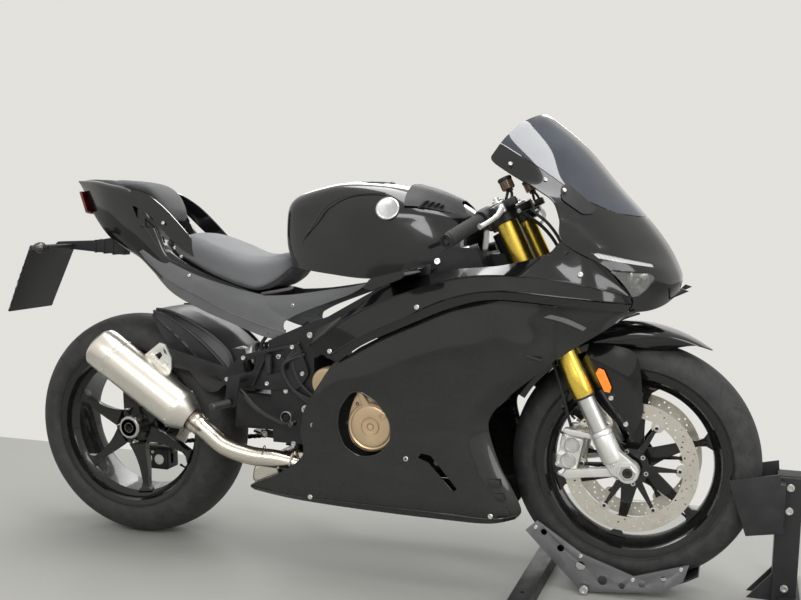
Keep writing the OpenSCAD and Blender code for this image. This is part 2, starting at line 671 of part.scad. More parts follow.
module front_fender() color("#0c0c0e") {
    difference() {
        translate([wheel_base - 12, fender_half, front_axle_z + 10]) rotate([90, 0, 0]) difference() {
            cylinder(h = 2 * fender_half, r = front_tyre_r + 30, $fn = 96);
            translate([0, 0, panel_t])
                cylinder(h = 2 * fender_half - 2 * panel_t, r = front_tyre_r + 26, $fn = 96);
            translate([0, 0, -1]) cylinder(h = 2 * fender_half + 2, r = front_tyre_r - 16, $fn = 96);
        }
        translate([wheel_base - 500, -200, -200]) cube([1200, 400, 200 + front_axle_z + 170]);
        translate([wheel_base + 148, -200, -200]) cube([400, 400, 1200]);
    }
    // covers beside the fork legs
    both_sides() slab(fender_half - 2, fork_y - fork_tube_r - skin_gap) polygon([
        [1262, 560], [1310, 500], [1360, 470], [1402, 430], [1412, 470], [1392, 590], [1374, 642], [1284, 626]]);
}
fender_half = 77;

module handlebars() color("#1c1c1e") fork_frame()
    for (s = [-1, 1]) {
        difference() {
            translate([-axle_lead, s * fork_y, 682]) cylinder(h = 18, r = fork_tube_r + 10);
            translate([-axle_lead, s * fork_y, 600]) cylinder(h = 200, r = fork_tube_r);
        }
        rod(bar_in(s), bar_out(s), 11);
    }
function bar_in(s) = [-axle_lead + 20, s * (fork_y + 30), 693];
function bar_out(s) = [-axle_lead - 78, s * bar_half, 654];
function bar_at(s, t) = bar_in(s) * (1 - t) + bar_out(s) * t;

module grips() color("#141415") fork_frame()
    for (s = [-1, 1]) difference() {
        rod(bar_at(s, 0.48), bar_at(s, 0.995), grip_r);
        rod(bar_at(s, 0.3), bar_at(s, 1.1), 11);
    }

module hand_controls() color("#2a2a2c") fork_frame()
    for (s = [-1, 1]) difference() {
        union() {
            rod(bar_at(s, 0.2), bar_at(s, 0.44), 22);
            // lever and its pivot
            rod(bar_at(s, 0.36) + [30, 0, 0], bar_at(s, 0.85) + [62, 0, -4], 6);
            rod(bar_at(s, 0.36), bar_at(s, 0.36) + [32, 0, 0], 9);
            // fluid reservoir on its stalk
            translate([22, s * 132, 722]) cylinder(h = 30, r = 16);
            rod([22, s * 132, 728], bar_at(s, 0.24) + [14, 0, 12], 6);
        }
        rod(bar_at(s, 0.1), bar_at(s, 0.6), 11 + run_gap);
    }

module brake_hoses() color("#111112") fork_frame()
    for (s = [-1, 1]) sweep(smooth_path([for (q = hose_path) [q[0], s * q[1], q[2]]], 6), hose_r, 8, [0, 1, 0]);

// Route of each brake hose: from the underside of the lower yoke down to the caliper.
hose_r = 4;
hose_path = [
    [-52, 88, 418 - skin_gap], [-56, 88, 390], [-58, 88, 340], [-64, 88, 285], [-72, 87, 230], [-84, 81, 170], [-92, 74, 124]];

// ---------- chock ----------
module chock_base() color("#141416") difference() {
    union() {
        translate([chock_back, -chock_half, 0]) cube([50, 2 * chock_half, 40]);
        translate([chock_back + 20, -30, 0]) cube([chock_front - chock_back - 40, 60, 24]);
        translate([chock_front - 50, -240, 0]) cube([50, 480, 40]);
        translate([post_x, -32, 0]) cube([56, 64, 330]);
        // plates on each side of the tyre, carried by the post
        for (s = [-1, 1]) {
            slab(s > 0 ? 66 : -66 - chock_plate, s > 0 ? 66 + chock_plate : -66)
                polygon([[1625, 320], [1738, 345], [1752, 205], [1670, 190]]);
            slab(s > 0 ? 30 : -70, s > 0 ? 70 : -30) polygon([[1738, 320], [1752, 320], [1752, 230], [1742, 230]]);
        }
    }
    translate([cradle_pin_x, 60, cradle_pin_z]) rotate([90, 0, 0]) cylinder(h = 120, r = cradle_pin_r);
    for (x = [chock_back + 25, chock_front - 25], s = [-1, 1])
        translate([x, s * bolt_y, -1]) cylinder(h = 60, r = floor_bolt_r);
}

cradle_pin_x = 1302;
cradle_pin_z = 14;
cradle_pin_r = 7;
module chock_cradle() color("#55565a") {
    for (s = [-1, 1]) slab(s > 0 ? 70 : -70 - chock_plate, s > 0 ? 70 + chock_plate : -70)
        difference() {
            polygon([[1150, 147], [1180, 175], [1292, 103], [1420, 60], [1548, 105], [1536, 62], [1490, 28], [1330, 8], [1290, 8]]);
            for (p = [[1197, 147, 8], [1240, 110, 9], [1290, 70, 12], [1345, 40, 12]]) translate([p[0], p[1]]) circle(r = p[2], $fn = 32);
        }
    // seat strips that follow the tyre
    intersection() {
        slab(-70, 70) difference() {
            translate([wheel_base, front_axle_z]) circle(r = front_tyre_r + skin_gap + chock_plate, $fn = 96);
            translate([wheel_base, front_axle_z]) circle(r = front_tyre_r + skin_gap, $fn = 96);
        }
        union() {
            translate([1150, -200, 30]) cube([120, 400, 130]);
            translate([1480, -200, 30]) cube([80, 400, 80]);
        }
    }
    // pivot pin through the base
    translate([cradle_pin_x, 75, cradle_pin_z]) rotate([90, 0, 0]) cylinder(h = 150, r = cradle_pin_r);
}

module placed() translate([-origin_x, 0, 0]) children();

placed() main_frame();
placed() engine_block();
placed() engine_covers();
placed() radiator();
placed() fuel_tank();
placed() rider_seat();
placed() pillion_seat();
placed() tail_cowl();
placed() side_panels();
placed() tail_light();
placed() plate_holder();
placed() rear_indicators();
placed() nose_fairing();
placed() windscreen();
placed() headlights();
placed() side_fairing_right();
placed() side_fairing_left();
placed() belly_fairing_right();
placed() belly_fairing_left();
placed() cockpit_display();
placed() exhaust_pipe();
placed() silencer();
placed() rear_hugger();
placed() swingarm();
placed() rear_caliper();
placed() rear_shock();
placed() footrests();
placed() drive_chain();
placed() fork_yokes();
placed() fork_tubes();
placed() fork_legs();
placed() front_axle();
placed() front_calipers();
placed() front_fender();
placed() handlebars();
placed() grips();
placed() hand_controls();
placed() brake_hoses();
placed() chock_base();
placed() chock_cradle();
placed() front_tyre();
placed() front_rim();
placed() front_discs();
placed() rear_tyre();
placed() rear_rim();
placed() rear_spindle();
placed() rear_disc();
placed() side_stand();
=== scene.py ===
"""Sport bike held upright in a front wheel chock: the visible pieces and their finishes."""
import math

import bmesh
import bpy
from mathutils import Matrix, Vector


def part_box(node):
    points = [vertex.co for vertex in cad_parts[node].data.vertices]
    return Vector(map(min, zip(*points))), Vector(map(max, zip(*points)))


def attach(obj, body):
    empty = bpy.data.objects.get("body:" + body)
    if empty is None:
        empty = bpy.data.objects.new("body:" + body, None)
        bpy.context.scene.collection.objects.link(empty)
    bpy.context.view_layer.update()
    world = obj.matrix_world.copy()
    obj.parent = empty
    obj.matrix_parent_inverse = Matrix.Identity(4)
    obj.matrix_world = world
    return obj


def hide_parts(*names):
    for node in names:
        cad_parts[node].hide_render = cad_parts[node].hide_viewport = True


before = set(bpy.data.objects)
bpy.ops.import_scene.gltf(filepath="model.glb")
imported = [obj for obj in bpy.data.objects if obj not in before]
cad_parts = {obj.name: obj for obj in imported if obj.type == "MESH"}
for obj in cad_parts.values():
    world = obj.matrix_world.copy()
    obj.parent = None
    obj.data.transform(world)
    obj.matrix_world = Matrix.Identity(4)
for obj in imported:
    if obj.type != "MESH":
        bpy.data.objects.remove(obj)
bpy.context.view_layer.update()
scene = bpy.context.scene

MM = 0.001
rear_lo, rear_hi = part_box("rear_tyre")
front_lo, front_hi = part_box("front_tyre")
rear_axle = (rear_lo + rear_hi) / 2
front_axle = (front_lo + front_hi) / 2
RAKE = math.radians(26)


def at(x, y, z):
    """A place in millimetres: ahead of the rear axle, to the rider's left, above the floor."""
    return Vector((rear_axle.x + x * MM, y * MM, z * MM))


# ---------------------------------------------------------------- shapes
def curve_through(points, t):
    """A point at t (0 to 1) on a smooth curve through the points."""
    spans = len(points) - 1
    s = min(max(t, 0), 1) * spans
    i = min(int(s), spans - 1)
    f = s - i
    a, b = points[max(i - 1, 0)], points[i]
    c, d = points[i + 1], points[min(i + 2, spans)]
    return 0.5 * (2 * b + (c - a) * f + (2 * a - 5 * b + 4 * c - d) * f * f + (3 * b - a - 3 * c + d) * f ** 3)


def rounded(points, reach, steps=4):
    """The outline with each corner turned into a short curve."""
    out = []
    n = len(points)
    for i, p in enumerate(points):
        p = Vector(p)
        back, on = Vector(points[i - 1]) - p, Vector(points[(i + 1) % n]) - p
        r = min(reach, back.length * 0.45, on.length * 0.45)
        a, b = p + back.normalized() * r, p + on.normalized() * r
        for k in range(steps + 1):
            t = k / steps
            out.append(a * (1 - t) ** 2 + p * 2 * t * (1 - t) + b * t * t)
    return out


def skin(rows, across, along):
    """A sheet through rows of control points (in mm), as a bmesh grid shaped to them."""
    bm = bmesh.new()
    bmesh.ops.create_grid(bm, x_segments=along, y_segments=across, size=0.5)
    rows = [[at(*p) for p in row] for row in rows]
    for v in bm.verts:
        line = [curve_through(row, v.co.x + 0.5) for row in rows]
        v.co = curve_through(line, v.co.y + 0.5)
    return bm


def mesh_of(name, bm):
    """The bmesh as a mesh; the bmesh is used up."""
    mesh = bpy.data.meshes.new(name)
    bm.to_mesh(mesh)
    bm.free()
    return mesh


def placed(name, data):
    """A new object in the scene."""
    made = bpy.data.objects.new(name, data)
    scene.collection.objects.link(made)
    return made


def evaluated(holder):
    """The object's mesh with its modifiers applied."""
    bpy.context.view_layer.update()
    return bpy.data.meshes.new_from_object(holder.evaluated_get(bpy.context.evaluated_depsgraph_get()))


def changed(bm, kind, **settings):
    """The piece after one modifier is applied to it."""
    holder = placed("shape", mesh_of("shape", bm))
    modifier = holder.modifiers.new("change", kind)
    for key, value in settings.items():
        setattr(modifier, key, value)
    out = bmesh.new()
    out.from_mesh(evaluated(holder))
    bpy.data.objects.remove(holder)
    return out


def thick(bm, depth, centre=None):
    """Gives a sheet a wall on its inner side, away from the outside as seen from a place in the bike's middle."""
    bmesh.ops.dissolve_degenerate(bm, edges=bm.edges, dist=1e-5)
    bmesh.ops.recalc_face_normals(bm, faces=bm.faces)
    outward(bm, centre or at(700, 0, 550))
    return changed(bm, "SOLIDIFY", thickness=depth * MM, offset=-1, use_even_offset=False)


def outward(bm, centre):
    """Turns a sheet's faces to point away from a place."""
    total = sum((f.calc_center_median() - centre).dot(f.normal) * f.calc_area() for f in bm.faces)
    if total < 0:
        bmesh.ops.reverse_faces(bm, faces=bm.faces)
    return bm


def extruded(bm, corners, depth):
    """Adds one flat face and pushes it along y by a depth in mm."""
    face = bm.faces.new([bm.verts.new(c) for c in corners])
    grown = bmesh.ops.extrude_face_region(bm, geom=[face])["geom"]
    moved = [g for g in grown if isinstance(g, bmesh.types.BMVert)]
    bmesh.ops.translate(bm, vec=(0, depth * MM, 0), verts=moved)
    bmesh.ops.recalc_face_normals(bm, faces=bm.faces)
    return bm


def plate(outline, y0, y1):
    """A flat plate with the given side outline (x, z), from y0 to y1."""
    return extruded(bmesh.new(), [at(p[0], y0, p[1]) for p in outline], y1 - y0)


def turned(profile, centre, steps=96, axis=(0, 1, 0)):
    """A turned piece: profile is (radius, place along the axis) in mm, centre is a place in metres."""
    bm = bmesh.new()
    axis = Vector(axis).normalized()
    side = axis.orthogonal().normalized()
    chain = [bm.verts.new(centre + side * r * MM + axis * a * MM) for r, a in profile]
    edges = [bm.edges.new(pair) for pair in zip(chain, chain[1:])]
    bmesh.ops.spin(bm, geom=chain + edges, cent=centre, axis=axis, angle=math.tau, steps=steps, use_merge=True)
    bmesh.ops.remove_doubles(bm, verts=bm.verts, dist=1e-6)
    bmesh.ops.recalc_face_normals(bm, faces=bm.faces)
    return bm


def pin(radius, a0, a1, centre, steps=32, axis=(0, 1, 0)):
    """A plain round pin, or the drill for its hole."""
    return turned([(0, a0), (radius, a0), (radius, a1), (0, a1)], centre, steps, axis)


def ring_of(r0, r1, a0, a1):
    """A closed profile for a flat ring or tube."""
    return [(r0, a0), (r1, a0), (r1, a1), (r0, a1), (r0, a0)]


def rod(a, b, radius):
    """A round bar between two places in mm."""
    a, b = at(*a), at(*b)
    return pin(radius, 0, (b - a).length / MM, a, 24, b - a)


def hose(points, radius, fine=6, sides=10, grow=None):
    """A round tube along a smooth curve through places in mm."""
    line = bpy.data.curves.new("route", "CURVE")
    line.dimensions, line.bevel_depth, line.use_fill_caps = "3D", radius * MM, True
    line.bevel_resolution = max(1, sides // 4)
    spline = line.splines.new("POLY")
    pts = [at(*p) for p in points]
    n = (len(pts) - 1) * fine
    spline.points.add(n)
    for i in range(n + 1):
        spline.points[i].co = (*curve_through(pts, i / n), 1)
        if grow:
            spline.points[i].radius = grow(i / n)
    holder = placed("route", line)
    bm = bmesh.new()
    bm.from_mesh(evaluated(holder))
    bpy.data.objects.remove(holder)
    bmesh.ops.remove_doubles(bm, verts=bm.verts, dist=1e-6)
    bmesh.ops.recalc_face_normals(bm, faces=bm.faces)
    return bm


def block(low, high):
    """A box between two corners in mm."""
    low, high = at(*low), at(*high)
    bm = bmesh.new()
    bmesh.ops.create_cube(bm, size=1)
    bmesh.ops.scale(bm, vec=high - low, verts=bm.verts)
    bmesh.ops.translate(bm, vec=(low + high) / 2, verts=bm.verts)
    return bm


def soften(bm, width, segments=2, over=28):
    """Rounds every edge that turns by more than `over` degrees."""
    sharp = [e for e in bm.edges if len(e.link_faces) == 2 and e.calc_face_angle(0) > math.radians(over)]
    bmesh.ops.bevel(bm, geom=sharp, offset=width * MM, offset_type="OFFSET", segments=segments, profile=0.6,
                    affect="EDGES", clamp_overlap=True, material=-1)
    return bm


def slab(outline, y0, y1, width, segments=2):
    """A plate with rounded edges."""
    return soften(plate(outline, y0, y1), width, segments)


def brick(low, high, width, segments=2):
    """A block with rounded edges."""
    return soften(block(low, high), width, segments)


def gather(*parts):
    """One bmesh out of several; a pair (bmesh, number) also gives its faces that finish."""
    whole = bmesh.new()
    for part in parts:
        bm, number = part if isinstance(part, tuple) else (part, None)
        if number is not None:
            for f in bm.faces:
                f.material_index = number
        scrap = mesh_of("scrap", bm)
        whole.from_mesh(scrap)
        bpy.data.meshes.remove(scrap)
    return whole


def mirrored(bm):
    """The same piece on the bike's other side."""
    other = bm.copy()
    bmesh.ops.scale(other, vec=(1, -1, 1), verts=other.verts)
    bmesh.ops.reverse_faces(other, faces=other.faces)
    return other


def both(bm):
    """The piece and its mirror image in one bmesh."""
    other = mirrored(bm)
    return gather(bm, other)


def pair(*parts):
    """Several pieces gathered, and again on the bike's other side."""
    return both(gather(*parts))


def around(bm, count, centre, axis=(0, 1, 0), first=0):
    """Copies of a piece turned about an axis."""
    ring = []
    for i in range(count):
        part = bm.copy()
        bmesh.ops.rotate(part, cent=centre, matrix=Matrix.Rotation(first + math.tau * i / count, 3, axis),
                         verts=part.verts)
        ring.append(part)
    bm.free()
    return gather(*ring)


def carved(bm, cutter, how="DIFFERENCE"):
    """The piece after a solid is cut from it, or kept only inside that solid."""
    holder = placed("cutter", mesh_of("cutter", cutter))
    out = changed(bm, "BOOLEAN", operation=how, object=holder, solver="EXACT")
    bpy.data.objects.remove(holder)
    return out


def piece(name, bm, body, *finishes, instead=(), keen=32):
    """Makes a bmesh into a finished piece that moves with a body and may stand for CAD nodes."""
    mesh = mesh_of(name, bm)
    for finish in finishes:
        mesh.materials.append(finish)
    mesh.polygons.foreach_set("use_smooth", [True] * len(mesh.polygons))
    mesh.set_sharp_from_angle(angle=math.radians(keen))
    made = placed(name, mesh)
    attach(made, body)
    if instead:
        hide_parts(*instead)
    return made


# ---------------------------------------------------------------- finishes
class Value:
    """A number in a finish; arithmetic on it adds Math nodes."""

    def __init__(self, recipe, socket):
        self.recipe, self.socket = recipe, socket

    def math(self, operation, *inputs, clamp=False):
        """One Math node on the given values."""
        return self.recipe.node("ShaderNodeMath", {"operation": operation, "use_clamp": clamp},
                                dict(enumerate(inputs)))

    def __add__(self, o): return self.math("ADD", self, o)
    def __radd__(self, o): return self.math("ADD", o, self)
    def __sub__(self, o): return self.math("SUBTRACT", self, o)
    def __rsub__(self, o): return self.math("SUBTRACT", o, self)
    def __mul__(self, o): return self.math("MULTIPLY", self, o)
    def __rmul__(self, o): return self.math("MULTIPLY", o, self)
    def __truediv__(self, o): return self.math("DIVIDE", self, o)
    def __rtruediv__(self, o): return self.math("DIVIDE", o, self)
    def __pow__(self, o): return self.math("POWER", self, o)
    def __neg__(self): return self.math("MULTIPLY", self, -1)
    def above(self, o): return self.math("GREATER_THAN", self, o)
    def below(self, o): return self.math("LESS_THAN", self, o)
    def abs(self): return self.math("ABSOLUTE", self)
    def root(self): return self.math("SQRT", self)
    def part(self): return self.math("FRACT", self)
    def held(self): return self.math("ADD", self, 0, clamp=True)
    def step(self, low, high):
        """0 at low and under, 1 at high and over, smooth between."""
        return self.recipe.node("ShaderNodeMapRange", {"interpolation_type": "SMOOTHSTEP"},
                                {0: self, 1: low, 2: high})


class Finish:
    """One material; its nodes are made by a single method."""

    def __init__(self, name, colour, rough, metal=0.0, **constants):
        self.material = bpy.data.materials.new(name)
        self.material.use_nodes = True
        self.nodes = self.material.node_tree.nodes
        self.links = self.material.node_tree.links
        self.shader = self.nodes["Principled BSDF"]
        self.material.diffuse_color = (*colour, 1)
        self.set("Base Color", (*colour, 1))
        self.set("Roughness", rough)
        self.set("Metallic", metal)
        for key, value in constants.items():
            self.set(key.replace("_", " "), value)
        self.place = None

    def set(self, socket, value):
        """Gives a socket of the shader a value or a link."""
        target = self.shader.inputs[socket]
        if isinstance(value, Value):
            self.links.new(value.socket, target)
        else:
            target.default_value = value

    def node(self, kind, settings=None, inputs=None, out=0):
        """Any node: its settings first, then the values or links of its sockets."""
        made = self.nodes.new(kind)
        for key, value in (settings or {}).items():
            setattr(made, key, value)
        for key, value in (inputs or {}).items():
            if isinstance(value, Value):
                self.links.new(value.socket, made.inputs[key])
            else:
                made.inputs[key].default_value = value
        return Value(self, made.outputs[out])

    def where(self, centre=(0, 0, 0), stretch=(1, 1, 1), turn=(0, 0, 0)):
        """The place on the piece, moved to a centre and stretched."""
        if self.place is None:
            self.place = self.node("ShaderNodeTexCoord", out="Object")
        moved = self.node("ShaderNodeVectorMath", {"operation": "SUBTRACT"}, {0: self.place, 1: tuple(centre)})
        return self.node("ShaderNodeMapping", {"vector_type": "POINT"},
                         {"Vector": moved, "Scale": tuple(stretch), "Rotation": tuple(turn)})

    def axes(self, vector):
        """The three parts of a vector."""
        split = self.nodes.new("ShaderNodeSeparateXYZ")
        self.links.new(vector.socket, split.inputs[0])
        return [Value(self, split.outputs[i]) for i in range(3)]

    def noise(self, scale, detail=3.0, rough=0.55, **place):
        """Cloudy noise, about 0.5 on average."""
        return self.node("ShaderNodeTexNoise", {}, {"Vector": self.where(**place), "Scale": scale, "Detail": detail,
                                                    "Roughness": rough})

    def cells(self, scale, **place):
        """0 on the edges of a cell pattern, rising towards each cell's middle."""
        return self.node("ShaderNodeTexVoronoi", {"feature": "DISTANCE_TO_EDGE"},
                         {"Vector": self.where(**place), "Scale": scale})

    def mix(self, amount, a, b):
        """A colour between two colours."""
        made = self.nodes.new("ShaderNodeMix")
        made.data_type = "RGBA"
        for index, value in ((0, amount), (6, a), (7, b)):
            if isinstance(value, Value):
                self.links.new(value.socket, made.inputs[index])
            else:
                made.inputs[index].default_value = value if index == 0 else (*value, 1)
        return Value(self, made.outputs[2])

    def bump(self, height, depth, strength=1.0):
        """Raises the surface by height (0 to 1) times depth in mm."""
        self.set("Normal", self.node("ShaderNodeBump", {}, {"Height": height, "Distance": depth * MM,
                                                            "Strength": strength}))
        return self


def wear_at_edges(f, low=0.02, high=0.12):
    """How pointed the surface is, from 0 in hollows to 1 on worn edges."""
    point = f.node("ShaderNodeNewGeometry", out="Pointiness")
    return point.step(0.5 + low, 0.5 + high)


def body_paint(name, colour, rough, coat, grain):
    """Black plastic bodywork: a clear coat over fine dust, wiping marks and a slight ripple."""
    f = Finish(name, colour, rough, 0.0, Coat_Weight=coat, Coat_Roughness=0.05, Coat_IOR=1.45,
               Specular_IOR_Level=0.22)
    dust = f.noise(420, 4, 0.7)
    wiped = f.noise(9, 5, 0.6, stretch=(1, 1, 2.4))
    fine = f.noise(60, 3, 0.6)
    f.set("Base Color", f.mix((dust.step(0.55, 0.85) * 0.3 + wiped.step(0.45, 0.75) * 0.4).held(), colour,
                              tuple(c * 1.4 + 0.004 for c in colour)))
    f.set("Roughness", rough + wiped.step(0.4, 0.7) * grain + fine.step(0.4, 0.7) * grain * 0.5)
    return f.bump(f.noise(3.5, 2, 0.4) * 0.9 + dust * 0.03, 1.2, 0.35).material


def moulded(name, colour, rough, size=900, depth=0.12):
    """Moulded black plastic with a fine leathery grain and rubbed edges."""
    f = Finish(name, colour, rough, 0.0, Specular_IOR_Level=0.4)
    grain = f.cells(size)
    cloud = f.noise(14, 4, 0.6)
    f.set("Base Color", f.mix((cloud.step(0.4, 0.8) * 0.5 + wear_at_edges(f) * 0.4).held(), colour,
                              tuple(c * 1.9 + 0.01 for c in colour)))
    f.set("Roughness", rough + cloud.step(0.3, 0.8) * 0.12)
    return f.bump(grain.step(0, 0.3), depth, 0.6).material


def painted_metal(name, colour, rough, metal=0.3, flake=0.0, depth=0.1):
    """Powder coat or cast metal: orange peel, handling marks and brighter worn edges."""
    f = Finish(name, colour, rough, metal, Specular_IOR_Level=0.5)
    peel = f.noise(700, 3, 0.5)
    marks = f.noise(24, 6, 0.65)
    worn = (wear_at_edges(f, 0.03, 0.15) * marks.step(0.35, 0.6)).held()
    f.set("Base Color", f.mix((worn * 0.5 + marks.step(0.5, 0.8) * 0.25).held(), colour,
                              tuple(min(1, c * 1.7 + 0.03) for c in colour)))
    f.set("Roughness", rough + marks.step(0.35, 0.75) * 0.16 - worn * 0.1)
    return f.bump(peel * 0.5 + marks * 0.5 + f.noise(2600, 2) * flake, depth, 0.5).material


def brushed(name, colour, rough, run=(1, 60, 60), turn=(0, 0, 0), centre=(0, 0, 0), tint=None):
    """Brushed metal; run stretches the lines, so they lie along its smallest number."""
    f = Finish(name, colour, rough, 1.0)
    lines = f.noise(40, 5, 0.7, stretch=run, turn=turn, centre=centre)
    soot = f.noise(11, 5, 0.6)
    f.set("Base Color", f.mix((soot.step(0.42, 0.72) * 0.55).held(), colour, tint or tuple(c * 0.72 for c in colour)))
    f.set("Roughness", rough + lines.step(0.3, 0.7) * 0.14 + soot.step(0.4, 0.8) * 0.1)
    return f.bump(lines, 0.06, 0.5).material


def tyre_rubber(name, centre, radius, half, seed):
    """Tyre: slanted grooves over the tread, moulded rings on the wall, and dust where it rolls."""
    f = Finish(name, (0.018, 0.018, 0.019), 0.62, 0.0, Specular_IOR_Level=0.35)
    x, y, z = f.axes(f.where(centre=centre))
    out = (x * x + z * z).root()
    angle = x.math("ARCTAN2", z, x) / math.tau
    side = y.abs() / half
    cut = None
    for count, shift, slant, width, inner, outer in ((11, 0.0, 0.55, 0.035, 0.12, 0.72),
                                                     (11, 0.45, -0.5, 0.03, 0.3, 0.86),
                                                     (22, 0.2, 0.9, 0.05, 0.62, 0.92)):
        phase = ((angle + shift / count + seed) * count + side * slant + y.above(0) * 0.5).part()
        groove = ((phase - 0.5).abs().below(width)) * side.above(inner) * side.below(outer)
        cut = groove if cut is None else (cut + groove).held()
    tread = out.above(radius - 0.052)
    wall = 1 - out.step(radius - 0.06, radius - 0.045)
    rings = ((out * 260).part() - 0.5).abs().step(0.32, 0.42) * wall
    dust = f.noise(30, 6, 0.7)
    scuff = f.noise(120, 4, 0.7, stretch=(1, 3, 1))
    cut = cut * tread
    f.set("Base Color", f.mix((dust.step(0.35, 0.75) * 0.5 + scuff.step(0.5, 0.8) * 0.2 + wall * 0.1).held(),
                              (0.026, 0.026, 0.0265), (0.085, 0.083, 0.079)))
    f.set("Roughness", 0.5 + dust.step(0.3, 0.7) * 0.25 + cut * 0.15)
    return f.bump(scuff * 0.12 + rings * 0.25 + (1 - cut) * 0.6, 2.0, 0.8).material


def seat_cover(name, colour):
    """Grippy seat vinyl: a fine pebble grain, paler where it is rubbed."""
    f = Finish(name, colour, 0.62, 0.0, Specular_IOR_Level=0.3, Sheen_Weight=0.25, Sheen_Roughness=0.5)
    pebbles = f.cells(1400)
    cloud = f.noise(7, 4, 0.6)
    f.set("Base Color", f.mix((cloud.step(0.35, 0.75) * 0.45 + pebbles.step(0.0, 0.25) * 0.3).held(),
                              tuple(c * 0.8 for c in colour), tuple(c * 1.15 + 0.01 for c in colour)))
    f.set("Roughness", 0.5 + cloud.step(0.3, 0.8) * 0.2)
    return f.bump(pebbles.step(0, 0.3) + f.noise(180, 3) * 0.4, 0.25, 0.7).material


def disc_steel(name, centre):
    """Ground steel disc: fine rings from the pads, with a faint heat tint."""
    f = Finish(name, (0.62, 0.6, 0.56), 0.28, 1.0)
    x, _, z = f.axes(f.where(centre=centre))
    out = (x * x + z * z).root()
    rings = f.node("ShaderNodeTexNoise", {"noise_dimensions": "1D"}, {"W": out * 2600, "Scale": 1.0, "Detail": 3.0})
    cloud = f.noise(25, 4, 0.6)
    f.set("Base Color", f.mix((rings.step(0.35, 0.7) * 0.5 + cloud.step(0.4, 0.8) * 0.4).held(), (0.78, 0.75, 0.68),
                              (0.55, 0.50, 0.42)))
    f.set("Roughness", 0.24 + rings.step(0.3, 0.7) * 0.16)
    return f.bump(rings, 0.05, 0.6).material


def smoked_screen(name):
    """Dark bluish tinted screen, glossy on both sides, clearer towards its top edge."""
    f = Finish(name, (0.012, 0.018, 0.03), 0.06, 0.0, Coat_Weight=1.0, Coat_Roughness=0.03, Specular_IOR_Level=0.6)
    z = f.axes(f.where(centre=at(0, 0, 900)))[2]
    haze = f.noise(6, 4, 0.55)
    f.set("Base Color", f.mix((haze.step(0.4, 0.7) * 0.6).held(), (0.016, 0.022, 0.036), (0.05, 0.066, 0.095)))
    f.set("Alpha", 0.97 - z.step(0.12, 0.3) * 0.13)
    f.set("Roughness", 0.05 + haze.step(0.45, 0.8) * 0.08)
    return f.bump(f.noise(5, 2), 0.8, 0.2).material


def lens(name, colour, alpha, glow=0.0):
    """A moulded lamp lens with fine upright ribs."""
    f = Finish(name, colour, 0.08, 0.0, Coat_Weight=0.8, Coat_Roughness=0.04, Alpha=alpha)
    y = f.axes(f.where())[1]
    ribs = ((y * 220).part() - 0.5).abs()
    f.set("Base Color", f.mix(ribs.step(0.1, 0.45) * 0.5, colour, tuple(min(1, c * 1.5 + 0.03) for c in colour)))
    # glow is an emission: painted light in the lens, not a lamp that is lit
    if glow:
        f.set("Emission Color", (*colour, 1))
        f.set("Emission Strength", glow)
    return f.bump(ribs, 0.4, 0.7).material


def crumpled_film(name):
    """Clear film pulled over the plate and creased into folds; painted glints make its facets pale in patches, and
    its creases stay darker.
    """
    f = Finish(name, (0.12, 0.12, 0.115), 0.22, 0.0, Coat_Weight=0.8, Coat_Roughness=0.1)
    folds = f.cells(26, stretch=(1, 1, 1.6))
    small = f.noise(60, 5, 0.7)
    # painted glints: pale patches on the film's facets over its dark colour, fewer of them along the creases
    f.set("Base Color", f.mix((folds.step(0.02, 0.25) * 0.5 + small.step(0.4, 0.7) * 0.6).held(), (0.02, 0.02, 0.02),
                              (0.42, 0.42, 0.38)))
    f.set("Roughness", 0.12 + small.step(0.3, 0.7) * 0.4)
    return f.bump(folds.step(0, 0.2) + small * 0.6, 5, 1.0).material


def chain_links(name):
    """Dark chain steel with oil on it."""
    f = Finish(name, (0.16, 0.13, 0.1), 0.38, 0.9)
    oil = f.noise(70, 5, 0.7)
    f.set("Base Color", f.mix(oil.step(0.35, 0.7), (0.05, 0.042, 0.035), (0.24, 0.2, 0.15)))
    f.set("Roughness", 0.28 + oil.step(0.3, 0.7) * 0.3)
    return f.bump(oil, 0.3, 0.6).material


gloss_black = body_paint("gloss_black_paint", (0.0045, 0.0048, 0.0055), 0.16, 1.0, 0.08)
satin_black = body_paint("satin_black_paint", (0.018, 0.018, 0.0165), 0.24, 0.7, 0.12)
panel_grey = body_paint("grey_side_panel", (0.15, 0.153, 0.155), 0.4, 0.2, 0.12)
trim_black = moulded("moulded_trim", (0.016, 0.016, 0.017), 0.45)
soft_black = moulded("soft_rubber", (0.02, 0.02, 0.02), 0.62, 1500, 0.2)
hugger_black = moulded("satin_hugger", (0.024, 0.024, 0.026), 0.34, 1500, 0.04)
frame_black = painted_metal("frame_coat", (0.018, 0.018, 0.019), 0.36)
engine_grey = painted_metal("engine_casting", (0.06, 0.06, 0.062), 0.5, 0.6, 0.5, 0.3)
bronze = painted_metal("bronze_cover", (0.62, 0.46, 0.29), 0.32, 0.6, 0.6, 0.08)
cast_silver = painted_metal("silver_casting", (0.76, 0.76, 0.73), 0.34, 0.75, 0.4, 0.1)
fork_silver = painted_metal("silver_leg", (0.68, 0.68, 0.66), 0.28, 0.85, 0.1, 0.05)
rim_black = body_paint("rim_black_paint", (0.011, 0.011, 0.011), 0.2, 0.7, 0.1)
chock_black = painted_metal("chock_coat", (0.02, 0.02, 0.021), 0.4, 0.2, 0.6, 0.2)
chock_grey = painted_metal("chock_plate_coat", (0.20, 0.203, 0.21), 0.32, 0.75, 0.3, 0.1)
bright_bolt = brushed("bright_bolt", (0.72, 0.71, 0.69), 0.24)
dark_bolt = brushed("dark_bolt", (0.1, 0.1, 0.1), 0.34)
axle_steel = brushed("axle_steel", (0.58, 0.57, 0.55), 0.25, (60, 1, 60))
silencer_steel = brushed("silencer_steel", (0.80, 0.77, 0.70), 0.24, (60, 60, 2), (0, math.radians(24), 0),
                         tint=(0.74, 0.69, 0.60))
